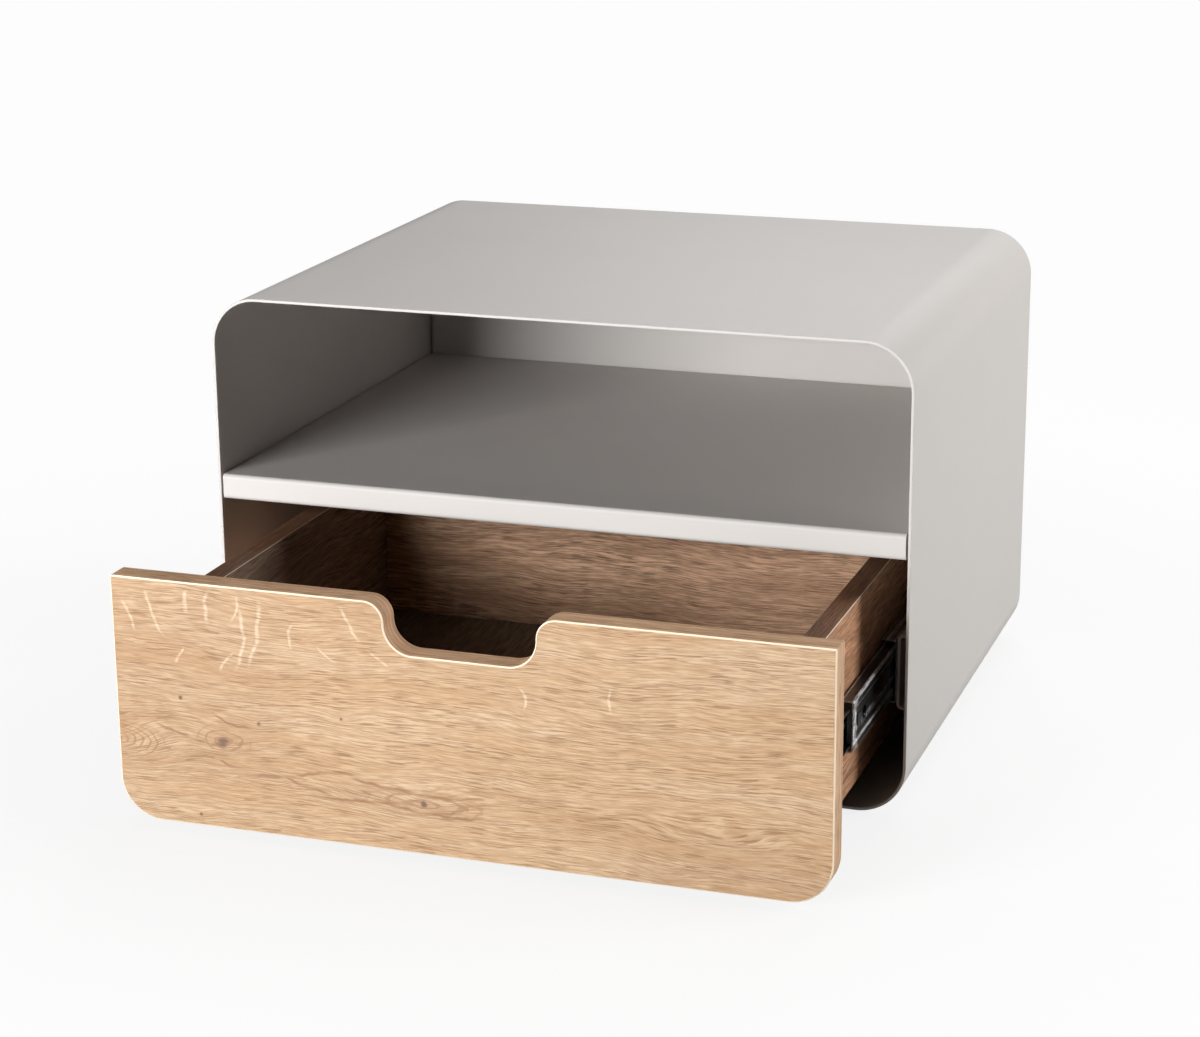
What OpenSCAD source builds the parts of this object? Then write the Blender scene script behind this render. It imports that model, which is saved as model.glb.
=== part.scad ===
// Side table with drawer: a closed loop of bent steel sheet with a folded shelf and a pan-shaped
// back, and an inset oak-faced drawer that runs on a pair of three-part ball bearing slides.
// Millimetres. The origin is the middle of the base, +Z is up and the drawer opens towards -Y.

/* [Shell] */
// Width over the shell
shell_w = 500; // [420:1:700]
// Height over the shell
shell_h = 325; // [290:1:480]
// Depth of the shell, front edge to rear edge
shell_d = 396; // [320:1:560]
// Thickness of the steel sheet
sheet_t = 2; // [1.5:0.1:2.8]
// Outer radius of the four rolled corners of the shell
corner_r = 34; // [24:1:44]

/* [Shelf and back] */
// Height of the top of the shelf above the base
shelf_z = 197; // [164:1:236]
// Height of the folded lip along the front of the shelf
lip_h = 18; // [12:1:24]
// Outer radius of the small folds
fold_r = 3; // [2.9:0.1:4]
// Width of the return under the front lip
return_w = 10; // [6:1:16]
// Gap between the ends of the lip and the walls of the shell
lip_end_gap = 1.5; // [0.5:0.1:3]
// Depth of the flange round the back panel
pan_depth = 6.5; // [5.5:0.1:12]
// Outer radius of the fold round the back panel
pan_fold_r = 4.5; // [3.2:0.1:5.4]

/* [Drawer front] */
// Thickness of the front
front_t = 19; // [16:0.5:25]
// Gap between the front and the side walls of the shell
front_side_gap = 3; // [1.5:0.1:5]
// Gap above and below the front
front_end_gap = 4; // [1.5:0.1:6]
// Thickness of the band glued round the edge of the front
band_t = 1; // [0.5:0.1:2]
// Width of the finger notch between its upright edges
notch_w = 103; // [80:1:160]
// Depth of the finger notch
notch_depth = 34; // [28:1:44]
// Radius of the shoulders of the notch
notch_shoulder_r = 14; // [6:0.5:16]
// Radius of the feet of the notch
notch_foot_r = 19; // [8:0.5:22]
// How far the drawer stands open
drawer_open = 172; // [0:1:190]

/* [Drawer box] */
// Thickness of the sides and the back of the box
board_t = 15; // [13:0.5:19]
// How far the top of the box lies below the top of the front
box_top_drop = 22; // [5:0.5:40]
// How far the bottom of the box lies above the bottom of the front
box_lift = 17.5; // [8:0.5:30]
// Gap between the box and the back panel when the drawer is shut
box_back_gap = 18.5; // [10:0.5:60]
// Thickness of the bottom panel
floor_t = 4; // [3:0.5:6]
// Height of the bottom panel above the bottom of the box
floor_lift = 14.5; // [10:0.5:20]
// Depth of the grooves that hold the bottom panel
groove_depth = 5; // [3:0.5:7]

/* [Slides] */
// Height of the cabinet member
slide_h = 45; // [40:0.5:48]
// Thickness of a whole slide
slide_w = 12.7; // [12.5:0.1:14]
// Thickness of the slide members
member_t = 1.2; // [1:0.1:1.4]
// Diameter of the bearing balls
ball_d = 4; // [3.4:0.1:4.8]
// Height of the middle of the slides above the base
slide_z = 82; // [70:1:92]
// Distance from the front of the shell to the front ends of the slides
slide_setback = 54; // [40:1:70]
// Distance that the middle member moves for each millimetre of the drawer
middle_ratio = 0.657; // [0.5:0.001:0.66]
// Height of the folded channel that carries a slide
channel_h = 54; // [50:1:64]
// Distance from the wall of the shell to the slide
channel_w = 17.8; // [12:0.1:30]

/* [Fasteners] */
// Diameter of the dowels
dowel_d = 8; // [6:1:10]
// Length of the dowels
dowel_l = 30; // [24:1:36]
// Diameter of the cam discs
cam_d = 15; // [12:1:18]
// Distance from the front of a side board to the middle of its cam discs
cam_reach = 24; // [18:1:34]
// Length of the screws that hold the back of the box
back_screw_l = 48; // [40:1:60]

/* [Hidden] */
$fn = 64;

LEFT = -1;
RIGHT = 1;

// How far a shape that cuts runs on past the face it cuts
past = 1;

// Shell
front_y = -shell_d / 2;
inner_w = shell_w - 2 * sheet_t;
inner_h = shell_h - 2 * sheet_t;
inner_r = corner_r - sheet_t;
pan_front_y = shell_d / 2 - pan_depth;

// Drawer front, shut: its face lies in the front plane of the shell
front_w = inner_w - 2 * front_side_gap;
front_z0 = sheet_t + front_end_gap;
front_z1 = shelf_z - lip_h - front_end_gap;
front_corner_r = inner_r - front_side_gap;

// Slides, measured from the front plane of the shell with the drawer shut
slide_step = 50;
slide_rear_gap = 10;
slide_l = slide_step * floor((shell_d - pan_depth - slide_setback - slide_rear_gap) / slide_step);
stop_l = 5;
stop_gap = 1;
stop_clear = 0.6;
middle_l = slide_l - stop_l - stop_gap;
middle_open = middle_ratio * drawer_open;
middle_travel = middle_ratio * slide_l;
member_r = 2;
race_gap = 0.1;
race_depth = 0.35;
ball_step_z = ball_d - 2 * race_depth;
middle_h = slide_h - 2 * member_t - 2 * ball_step_z;
drawer_member_h = middle_h - 2 * member_t - 2 * ball_step_z;
web_gap = 0.7;
lip_clear = 2.2;
inner_web_gap = 1;
middle_web_u = slide_w - member_t - web_gap;
drawer_flange_u = middle_web_u - member_t - inner_web_gap;
stop_u = drawer_flange_u + stop_clear;
outer_ball_u = 6.6;
inner_ball_u = 5.4;
outer_ball_z = slide_h / 2 - member_t - ball_step_z / 2;
inner_ball_z = middle_h / 2 - member_t - ball_step_z / 2;

// Ball cages: as long as the overlap of their two members at full reach, less a margin at each end
cage_margin = 5;
cage_t = 0.8;
cage_w = 5.6;
ball_pitch = 18;
outer_cage_l = middle_l - middle_travel - 2 * cage_margin;
outer_cage_y = slide_setback + (middle_l - outer_cage_l) / 2;
inner_cage_l = middle_travel - 2 * cage_margin;
inner_cage_y = slide_setback + (slide_l - inner_cage_l) / 2;

// Drawer box
box_half_w = inner_w / 2 - channel_w - slide_w;
box_in_x = box_half_w - board_t;
box_l = shell_d - pan_depth - box_back_gap - front_t;
box_z0 = front_z0 + box_lift;
box_z1 = front_z1 - box_top_drop;
box_rear_y = front_t + box_l;
floor_z = box_z0 + floor_lift;
groove_play = 0.4;
seam_gap = 0.1;
board_mid_x = box_half_w - board_t / 2;
back_mid_y = box_rear_y - board_t / 2;

// Fasteners
drill_gap = 0.1;
joint_lift = 38;
joint_drop = 22;
joint_z_low = box_z0 + joint_lift;
joint_z_high = box_z1 - joint_drop;
dowel_z = (joint_z_low + joint_z_high) / 2;
dowel_in_front = 12;
dowel_in_side = 9;
cam_floor_t = 2;
cam_depth = min(12.5, board_t - cam_floor_t);
cam_slot_w = 2;
cam_slot_depth = 2;
cam_bolt_in_front = 11;
cam_bolt_head_l = 3;
cam_bolt_neck_l = 3;
cam_bolt_head_y = front_t + cam_reach - cam_bolt_head_l;
cam_bolt_head_r = 3.3;
cam_bolt_neck_r = 2;
cam_bolt_shank_r = 2.9;
cam_bolt_thread_r = 2.5;
back_screw_head_r = 4.8;
back_screw_head_t = 4;
back_screw_r = 3.4;
back_screw_sink = 0.5;
back_socket_r = 2.3;
back_socket_depth = 2;
slide_screw_r = 1.75;
slide_screw_l = 12;
slide_screw_head_r = 3.7;
slide_screw_head_t = 2;
screw_hole_margin = 1;
cabinet_screw_r = 2;
cabinet_screw_head_r = cabinet_screw_r + member_t;
cabinet_screw_l = 10;
nut_r = 4;
nut_t = 3.2;
screw_inset = 32;
screw_ys = [slide_setback + screw_inset, slide_setback + slide_l - screw_inset];

// Release levers
lever_setback = 75;
lever_y = slide_setback + lever_setback;
lever_t = 2.4;
lever_gap = 0.7;
lever_u = member_t + lever_gap;
lever_pin_r = 1.5;
lever_pin_gap = 0.08;
lever_pin_head_t = 0.6;
lever_head_gap = 0.4;
lever_hub_r = 4;
lever_pin_flange_r = 3;
lever_arm_l = 26;
lever_tail_l = 10;
lever_arm_w = 4;
lever_tab_r = 5.5;

// Middle member bumper: a block between the flanges of the drawer member, and a plate in front of
// the ball tracks
bumper_u0 = 6.2;
bumper_l = 24;
bumper_gap = 0.8;
bumper_h = drawer_member_h - 2 * (member_t + bumper_gap);
bumper_plate_l = 3;
bumper_plate_h = middle_h - 2 * member_r;
bumper_plate_gap = 0.4;
bumper_rib_gap = 0.3;
bumper_clip_y = 12;
bumper_clip_l = 8;
bumper_clip_h = 10;
bumper_clip_gap = 0.05;

steel_grey = [0.75, 0.73, 0.71];
zinc = [0.62, 0.63, 0.65];
dark_zinc = [0.30, 0.30, 0.31];
bright_steel = [0.80, 0.80, 0.82];
black_plastic = [0.08, 0.08, 0.08];
oak = [0.80, 0.62, 0.42];
oak_edge = [0.55, 0.41, 0.30];
beech = [0.85, 0.72, 0.52];
die_cast = [0.60, 0.60, 0.60];

// ---- Placing ----

// Moves a group from the front plane of the shell, drawer shut, out by its own travel
module out_by(travel) translate([0, front_y - travel, 0]) children();

// Draws right-hand pieces, and mirrors them for the left
module on_side(side) {
    if (side == LEFT) mirror([1, 0, 0]) children();
    else children();
}

// Carries a profile drawn in X and Z along Y
module along_y(y0, length)
    translate([0, y0 + length, 0]) rotate([90, 0, 0]) linear_extrude(length) children();

// Carries a profile drawn in Y and Z along X
module along_x(x0, length)
    translate([x0, 0, 0]) rotate([90, 0, 90]) linear_extrude(length) children();

// A round bar along X, and one along Y
module bar_x(x0, x1, y, z, r) translate([x0, y, z]) rotate([0, 90, 0]) cylinder(h = x1 - x0, r = r);
module bar_y(y0, y1, x, z, r) translate([x, y0, z]) rotate([-90, 0, 0]) cylinder(h = y1 - y0, r = r);

// ---- Profiles ----

// A quarter of a ring in the quarter given by the signs sx and sz, centred on x, z
module bend(x, z, sx, sz, r, t)
    translate([x, z]) mirror([sx < 0 ? 1 : 0, 0]) mirror([0, sz < 0 ? 1 : 0])
        intersection() {
            difference() {
                circle(r);
                circle(r - t);
            }
            square(r + past);
        }

// A rectangle on the X axis with four round corners
module rounded_rect(w, h, r) {
    translate([-w / 2 + r, 0]) square([w - 2 * r, h]);
    translate([-w / 2, r]) square([w, h - 2 * r]);
    for (x = [-w / 2 + r, w / 2 - r], z = [r, h - r])
        translate([x, z]) circle(r);
}

// A folded C: the web's outer face on X = 0, its flanges towards +X
module c_section(h, l, t, r) {
    translate([0, -h / 2 + r]) square([t, h - 2 * r]);
    for (s = [-1, 1]) {
        bend(r, s * (h / 2 - r), -1, s, r, t);
        translate([r, s * (h / 2 - t / 2) - t / 2]) square([l - r, t]);
    }
}

// The same C with its web on the side away from the drawer
module c_section_out(web_u, h, l, t, r) translate([web_u, 0]) mirror([1, 0]) c_section(h, l, t, r);

// The tracks of the balls above and below the middle of a slide
module race(u, z)
    for (s = [-1, 1])
        translate([u, s * z]) circle(ball_d / 2 + race_gap);

// ---- Shell, shelf and back ----

module shell()
    color(steel_grey)
        along_y(front_y, shell_d)
            difference() {
                rounded_rect(shell_w, shell_h, corner_r);
                translate([0, sheet_t]) rounded_rect(inner_w, inner_h, inner_r);
            }

// The fold round the back panel: four straight lengths and four turned corners
module pan_rim() {
    fold_y = pan_front_y + pan_fold_r;
    for (s = [-1, 1]) {
        side_x = s * (inner_w / 2 - pan_fold_r);
        translate([0, 0, sheet_t + inner_r])
            linear_extrude(inner_h - 2 * inner_r) bend(side_x, fold_y, s, -1, pan_fold_r, sheet_t);
        end_z = sheet_t + inner_h / 2 + s * (inner_h / 2 - pan_fold_r);
        along_x(-inner_w / 2 + inner_r, inner_w - 2 * inner_r)
            bend(fold_y, end_z, -1, s, pan_fold_r, sheet_t);
    }
    mid_z = sheet_t + inner_h / 2;
    for (sx = [-1, 1], sz = [-1, 1])
        translate([sx * (inner_w / 2 - inner_r), fold_y, mid_z + sz * (inner_h / 2 - inner_r)])
            mirror([sx < 0 ? 1 : 0, 0, 0]) mirror([0, 0, sz < 0 ? 1 : 0])
                rotate([90, 0, 0]) rotate_extrude(angle = 90)
                    bend(inner_r - pan_fold_r, 0, 1, 1, pan_fold_r, sheet_t);
}

module back_panel()
    color(steel_grey) {
        along_y(pan_front_y, sheet_t)
            translate([0, sheet_t + pan_fold_r])
                rounded_rect(inner_w - 2 * pan_fold_r, inner_h - 2 * pan_fold_r, inner_r - pan_fold_r);
        pan_rim();
        along_y(pan_front_y + pan_fold_r, pan_depth - pan_fold_r)
            difference() {
                translate([0, sheet_t]) rounded_rect(inner_w, inner_h, inner_r);
                translate([0, 2 * sheet_t])
                    rounded_rect(inner_w - 2 * sheet_t, inner_h - 2 * sheet_t, inner_r - sheet_t);
            }
    }

// Top, front lip with its return, and rear flange, in Y and Z
module shelf_profile() {
    lip_z = shelf_z - lip_h;
    translate([front_y + fold_r, shelf_z - sheet_t])
        square([pan_front_y - front_y - 2 * fold_r, sheet_t]);
    bend(front_y + fold_r, shelf_z - fold_r, -1, 1, fold_r, sheet_t);
    bend(front_y + fold_r, lip_z + fold_r, -1, -1, fold_r, sheet_t);
    translate([front_y, lip_z + fold_r]) square([sheet_t, lip_h - 2 * fold_r]);
    translate([front_y + fold_r, lip_z]) square([return_w - fold_r, sheet_t]);
    bend(pan_front_y - fold_r, shelf_z - fold_r, 1, 1, fold_r, sheet_t);
    translate([pan_front_y - sheet_t, lip_z]) square([sheet_t, lip_h - fold_r]);
}

module shelf() {
    lip_half_w = inner_w / 2 - lip_end_gap;
    plate_half_w = inner_w / 2 - fold_r;
    relief = fold_r + lip_end_gap;
    color(steel_grey) {
        intersection() {
            along_x(-lip_half_w, 2 * lip_half_w) shelf_profile();
            union() {
                translate([-plate_half_w, front_y - past, 0]) cube([2 * plate_half_w, shell_d, shell_h]);
                translate([-lip_half_w, front_y - past, 0]) cube([2 * lip_half_w, fold_r + past, shell_h]);
                translate([-lip_half_w, front_y - past, 0])
                    cube([2 * lip_half_w, return_w + 2 * past, shelf_z - lip_h + fold_r]);
            }
        }
        for (side = [LEFT, RIGHT]) on_side(side)
            along_y(front_y + relief, pan_front_y - front_y - 2 * relief) {
                bend(plate_half_w, shelf_z - fold_r, 1, 1, fold_r, sheet_t);
                translate([inner_w / 2 - sheet_t, shelf_z - lip_h])
                    square([sheet_t, lip_h - fold_r]);
            }
    }
}

// ---- Slide parts fixed to the shell ----

module slide_channel(side)
    color(steel_grey) on_side(side)
        difference() {
            out_by(0) along_y(slide_setback, slide_l)
                translate([box_half_w + slide_w, slide_z])
                    c_section(channel_h, channel_w, sheet_t, 2 * sheet_t);
            out_by(0) for (y = screw_ys)
                bar_x(box_half_w, inner_w / 2, y, slide_z, cabinet_screw_r + drill_gap);
        }

module cabinet_member(side)
    color(dark_zinc) on_side(side) out_by(0)
        difference() {
            along_y(slide_setback, slide_l)
                translate([box_half_w, slide_z])
                    difference() {
                        c_section_out(slide_w, slide_h, slide_w - lip_clear, member_t, member_r);
                        race(outer_ball_u, outer_ball_z);
                    }
            for (y = screw_ys) countersink(y);
        }

// The cone of a countersunk head, flush with the inner face of the cabinet member's web
module countersink(y)
    translate([box_half_w + slide_w - member_t, y, slide_z]) rotate([0, 90, 0])
        cylinder(h = member_t, r1 = cabinet_screw_head_r, r2 = cabinet_screw_r);

module cabinet_slide_screws()
    color(bright_steel) for (side = [LEFT, RIGHT]) on_side(side) out_by(0)
        for (y = screw_ys) {
            countersink(y);
            head_x = box_half_w + slide_w;
            bar_x(head_x, head_x + cabinet_screw_l, y, slide_z, cabinet_screw_r);
        }

module cabinet_slide_nuts()
    color(bright_steel) for (side = [LEFT, RIGHT]) on_side(side) out_by(0)
        for (y = screw_ys)
            translate([box_half_w + slide_w + sheet_t, y, slide_z]) rotate([0, 90, 0])
                difference() {
                    cylinder(h = nut_t, r = nut_r, $fn = 6);
                    translate([0, 0, -past])
                        cylinder(h = nut_t + 2 * past, r = cabinet_screw_r + drill_gap / 2);
                }

// Rubber stops in the rear ends of the cabinet members
module closing_stops()
    color(black_plastic) for (side = [LEFT, RIGHT]) on_side(side) out_by(0)
        along_y(slide_setback + slide_l - stop_l, stop_l)
            translate([box_half_w + stop_u, slide_z - slide_h / 2 + member_r])
                square([slide_w - member_t - stop_u, slide_h - 2 * member_r]);

// ---- Balls and cages ----

module cage(side, travel, y0, length, u, z)
    color(zinc) on_side(side) out_by(travel)
        for (s = [-1, 1])
            difference() {
                translate([box_half_w + u - cage_w / 2, y0, slide_z + s * z - cage_t / 2])
                    cube([cage_w, length, cage_t]);
                for (y = ball_ys(y0, length))
                    translate([box_half_w + u, y, slide_z + s * z - cage_t])
                        cylinder(h = 2 * cage_t, r = ball_d / 2 + race_gap);
            }

module balls(side, travel, y0, length, u, z)
    color(bright_steel) on_side(side) out_by(travel)
        for (s = [-1, 1], y = ball_ys(y0, length))
            translate([box_half_w + u, y, slide_z + s * z]) sphere(d = ball_d);

// Where the balls of a cage lie along it
function ball_ys(y0, length) =
    let (count = floor(length / ball_pitch))
    [for (i = [0 : count - 1]) y0 + length * (i + 0.5) / count];

module outer_ball_cage(side)
    cage(side, middle_open / 2, outer_cage_y, outer_cage_l, outer_ball_u, outer_ball_z);
module outer_balls(side)
    balls(side, middle_open / 2, outer_cage_y, outer_cage_l, outer_ball_u, outer_ball_z);
module inner_ball_cage(side)
    cage(side, (middle_open + drawer_open) / 2, inner_cage_y, inner_cage_l, inner_ball_u, inner_ball_z);
module inner_balls(side)
    balls(side, (middle_open + drawer_open) / 2, inner_cage_y, inner_cage_l, inner_ball_u, inner_ball_z);

// ---- Middle members ----

module middle_member(side)
    color(dark_zinc) on_side(side) out_by(middle_open)
        difference() {
            along_y(slide_setback, middle_l)
                translate([box_half_w, slide_z])
                    difference() {
                        c_section_out(middle_web_u, middle_h, middle_web_u - lip_clear, member_t, member_r);
                        race(outer_ball_u, outer_ball_z);
                        race(inner_ball_u, inner_ball_z);
                    }
            bumper_clip(bumper_clip_gap, past);
            for (y = screw_ys)
                bar_x(box_half_w, box_half_w + slide_w, y, slide_z, slide_screw_head_r + screw_hole_margin);
        }

// The clip of the bumper, which fills a window in the web of the middle member
module bumper_clip(gap, proud)
    translate([box_half_w + middle_web_u - member_t, slide_setback + bumper_clip_y - gap,
        slide_z - bumper_clip_h / 2 - gap])
        cube([member_t + proud, bumper_clip_l + 2 * gap, bumper_clip_h + 2 * gap]);

module middle_bumper(side)
    color(black_plastic) on_side(side) out_by(middle_open) {
        web_u = middle_web_u - member_t;
        translate([box_half_w + bumper_u0, slide_setback, slide_z - bumper_h / 2])
            cube([web_u - bumper_u0, bumper_l, bumper_h]);
        along_y(slide_setback, bumper_plate_l)
            translate([box_half_w, slide_z]) {
                rib_u = drawer_flange_u + bumper_rib_gap;
                translate([rib_u, -bumper_plate_h / 2]) square([web_u - rib_u, bumper_plate_h]);
                strip_z = drawer_member_h / 2 + bumper_plate_gap;
                for (s = [-1, 1])
                    translate([lip_clear, min(s * strip_z, s * bumper_plate_h / 2)])
                        square([web_u - lip_clear, bumper_plate_h / 2 - strip_z]);
            }
        bumper_clip(0, 0);
    }

// ---- Drawer members and release levers ----

module drawer_member(side)
    color(dark_zinc) on_side(side) out_by(drawer_open)
        difference() {
            along_y(slide_setback, slide_l)
                translate([box_half_w, slide_z])
                    difference() {
                        c_section(drawer_member_h, drawer_flange_u, member_t, member_r);
                        race(inner_ball_u, inner_ball_z);
                    }
            for (y = screw_ys)
                bar_x(box_half_w - past, box_half_w + member_t + past, y, slide_z, slide_screw_r + drill_gap);
        }

module drawer_slide_screws()
    color(bright_steel) for (side = [LEFT, RIGHT]) on_side(side) out_by(drawer_open)
        for (y = screw_ys) {
            head_x = box_half_w + member_t;
            bar_x(head_x - member_t - slide_screw_l, head_x, y, slide_z, slide_screw_r);
            bar_x(head_x, head_x + slide_screw_head_t, y, slide_z, slide_screw_head_r);
        }

module lever_pins()
    color(bright_steel) for (side = [LEFT, RIGHT]) on_side(side) out_by(drawer_open) {
        head_x = box_half_w + lever_u + lever_t + lever_head_gap;
        bar_x(box_half_w + member_t, head_x, lever_y, slide_z, lever_pin_r);
        bar_x(head_x, head_x + lever_pin_head_t, lever_y, slide_z, lever_pin_flange_r);
    }

// A flat lever on its pin, with a thumb tab towards the front and a short tail
module release_lever(side)
    color(zinc) on_side(side) out_by(drawer_open)
        along_x(box_half_w + lever_u, lever_t)
            translate([lever_y, slide_z])
                difference() {
                    union() {
                        circle(lever_hub_r);
                        translate([-lever_arm_l, -lever_arm_w / 2])
                            square([lever_arm_l + lever_tail_l, lever_arm_w]);
                        translate([-lever_arm_l, 0]) circle(lever_tab_r);
                        translate([lever_tail_l, 0]) circle(lever_arm_w / 2);
                    }
                    circle(lever_pin_r + lever_pin_gap);
                }

// ---- Drawer front ----

// The outline of the front, pulled in by inset all round
module front_outline(inset)
    difference() {
        union() {
            straight_z = front_z0 + front_corner_r;
            translate([-front_w / 2 + inset, straight_z])
                square([front_w - 2 * inset, front_z1 - inset - straight_z]);
            translate([-front_w / 2 + front_corner_r, front_z0 + inset])
                square([front_w - 2 * front_corner_r, front_corner_r]);
            for (s = [-1, 1])
                translate([s * (front_w / 2 - front_corner_r), straight_z]) circle(front_corner_r - inset);
        }
        notch_outline(inset);
    }

// The finger notch: upright sides with round shoulders above and round feet below
module notch_outline(inset) {
    foot_x = notch_w / 2 - notch_foot_r;
    foot_z = front_z1 - notch_depth + notch_foot_r;
    shoulder_x = notch_w / 2 + notch_shoulder_r;
    shoulder_z = front_z1 - notch_shoulder_r;
    translate([-foot_x, foot_z - notch_foot_r - inset]) square([2 * foot_x, 2 * notch_foot_r]);
    translate([-notch_w / 2 - inset, foot_z]) square([notch_w + 2 * inset, front_z1 + past - foot_z]);
    for (s = [-1, 1]) {
        translate([s * foot_x, foot_z]) circle(notch_foot_r + inset);
        mirror([s < 0 ? 1 : 0, 0])
            difference() {
                translate([notch_w / 2, shoulder_z])
                    square([notch_shoulder_r, notch_shoulder_r + past]);
                translate([shoulder_x, shoulder_z]) circle(notch_shoulder_r - inset);
            }
    }
}

module drawer_front()
    color(oak) out_by(drawer_open)
        difference() {
            along_y(0, front_t) front_outline(band_t);
            floor_groove();
            joint_drillings();
        }

module front_edge_band()
    color(oak_edge) out_by(drawer_open)
        along_y(0, front_t)
            difference() {
                front_outline(0);
                front_outline(band_t);
            }

// ---- Drawer box ----

// The space of the grooves for the bottom panel, in the front, the sides and the back
module floor_groove()
    translate([-box_in_x - groove_depth, front_t - groove_depth, floor_z])
        cube([2 * (box_in_x + groove_depth), box_l - board_t + 2 * groove_depth, floor_t + groove_play]);

module drawer_bottom() {
    reach = groove_depth - groove_play;
    color(oak) out_by(drawer_open)
        translate([-box_in_x - reach, front_t - reach, floor_z])
            cube([2 * (box_in_x + reach), box_l - board_t + 2 * reach, floor_t]);
}

module drawer_side(side)
    color(oak) out_by(drawer_open)
        difference() {
            on_side(side) translate([box_in_x, front_t, box_z0])
                cube([board_t, box_l, box_z1 - band_t - box_z0]);
            floor_groove();
            joint_drillings();
            on_side(side) for (y = screw_ys)
                bar_x(box_half_w - slide_screw_l, box_half_w + past, y, slide_z, slide_screw_r + drill_gap);
        }

module drawer_back()
    color(oak) out_by(drawer_open)
        difference() {
            translate([-box_in_x, box_rear_y - board_t, box_z0])
                cube([2 * box_in_x, board_t, box_z1 - band_t - box_z0]);
            floor_groove();
            joint_drillings();
        }

// Bands on the top edges of the two sides and the back
module box_edge_bands()
    color(oak_edge) out_by(drawer_open) {
        for (side = [LEFT, RIGHT]) on_side(side)
            translate([box_in_x, front_t, box_z1 - band_t]) cube([board_t, box_l, band_t]);
        translate([-box_in_x + seam_gap, box_rear_y - board_t, box_z1 - band_t])
            cube([2 * (box_in_x - seam_gap), board_t, band_t]);
    }

// ---- Fasteners of the box ----

// Everything that is drilled for the cams, the dowels and the screws of the back
module joint_drillings()
    for (side = [LEFT, RIGHT]) on_side(side) {
        for (z = [joint_z_low, joint_z_high]) {
            bar_x(box_in_x - past, box_in_x + cam_depth, front_t + cam_reach, z, cam_d / 2 + drill_gap);
            bar_y(front_t - cam_bolt_in_front, front_t, board_mid_x, z, cam_bolt_thread_r + drill_gap);
            bar_y(front_t, front_t + cam_reach, board_mid_x, z, cam_bolt_head_r + drill_gap);
            bar_x(box_half_w - back_screw_l, box_half_w + past, back_mid_y, z, back_screw_r + drill_gap);
            bar_x(box_half_w - back_screw_head_t, box_half_w + past, back_mid_y, z,
                back_screw_head_r + drill_gap);
        }
        bar_y(front_t - dowel_in_front, front_t - dowel_in_front + dowel_l, board_mid_x, dowel_z,
            dowel_d / 2 + drill_gap);
        bar_x(box_in_x + dowel_in_side - dowel_l, box_in_x + dowel_in_side, back_mid_y, dowel_z,
            dowel_d / 2 + drill_gap);
    }

module cam_discs()
    color(die_cast) for (side = [LEFT, RIGHT]) on_side(side) out_by(drawer_open)
        for (z = [joint_z_low, joint_z_high])
            difference() {
                bar_x(box_in_x, box_in_x + cam_depth, front_t + cam_reach, z, cam_d / 2);
                bar_y(front_t, front_t + cam_reach + cam_slot_w, board_mid_x, z, cam_bolt_head_r + drill_gap);
                translate([box_in_x - past, front_t + cam_reach - cam_slot_w / 2, z - cam_d / 4])
                    cube([cam_slot_depth + past, cam_slot_w, cam_d / 2]);
            }

module cam_bolts()
    color(bright_steel) for (side = [LEFT, RIGHT]) on_side(side) out_by(drawer_open)
        for (z = [joint_z_low, joint_z_high]) {
            neck_y = cam_bolt_head_y - cam_bolt_neck_l;
            bar_y(front_t - cam_bolt_in_front, front_t, board_mid_x, z, cam_bolt_thread_r);
            bar_y(front_t, neck_y, board_mid_x, z, cam_bolt_shank_r);
            bar_y(neck_y, cam_bolt_head_y, board_mid_x, z, cam_bolt_neck_r);
            bar_y(cam_bolt_head_y, cam_bolt_head_y + cam_bolt_head_l, board_mid_x, z, cam_bolt_head_r);
        }

module dowels()
    color(beech) for (side = [LEFT, RIGHT]) on_side(side) out_by(drawer_open) {
        dowel_y = front_t - dowel_in_front;
        bar_y(dowel_y, dowel_y + dowel_l, board_mid_x, dowel_z, dowel_d / 2);
        bar_x(box_in_x + dowel_in_side - dowel_l, box_in_x + dowel_in_side, back_mid_y, dowel_z, dowel_d / 2);
    }

module back_screws()
    color(bright_steel) for (side = [LEFT, RIGHT]) on_side(side) out_by(drawer_open)
        for (z = [joint_z_low, joint_z_high])
            difference() {
                end_x = box_half_w - back_screw_sink;
                union() {
                    bar_x(box_half_w - back_screw_l, end_x, back_mid_y, z, back_screw_r);
                    bar_x(box_half_w - back_screw_head_t, end_x, back_mid_y, z, back_screw_head_r);
                }
                translate([end_x - back_socket_depth, back_mid_y, z]) rotate([0, 90, 0])
                    cylinder(h = back_socket_depth + past, r = back_socket_r, $fn = 6);
            }

shell();
back_panel();
shelf();
slide_channel(LEFT);  // slide_channel_left
slide_channel(RIGHT);  // slide_channel_right
cabinet_member(LEFT);  // cabinet_member_left
cabinet_member(RIGHT);  // cabinet_member_right
cabinet_slide_screws();
cabinet_slide_nuts();
closing_stops();
outer_ball_cage(LEFT);  // outer_ball_cage_left
outer_ball_cage(RIGHT);  // outer_ball_cage_right
outer_balls(LEFT);  // outer_balls_left
outer_balls(RIGHT);  // outer_balls_right
middle_member(LEFT);  // middle_member_left
middle_member(RIGHT);  // middle_member_right
middle_bumper(LEFT);  // middle_bumper_left
middle_bumper(RIGHT);  // middle_bumper_right
inner_ball_cage(LEFT);  // inner_ball_cage_left
inner_ball_cage(RIGHT);  // inner_ball_cage_right
inner_balls(LEFT);  // inner_balls_left
inner_balls(RIGHT);  // inner_balls_right
drawer_member(LEFT);  // drawer_member_left
drawer_member(RIGHT);  // drawer_member_right
drawer_slide_screws();
lever_pins();
release_lever(LEFT);  // release_lever_left
release_lever(RIGHT);  // release_lever_right
drawer_front();
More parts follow.
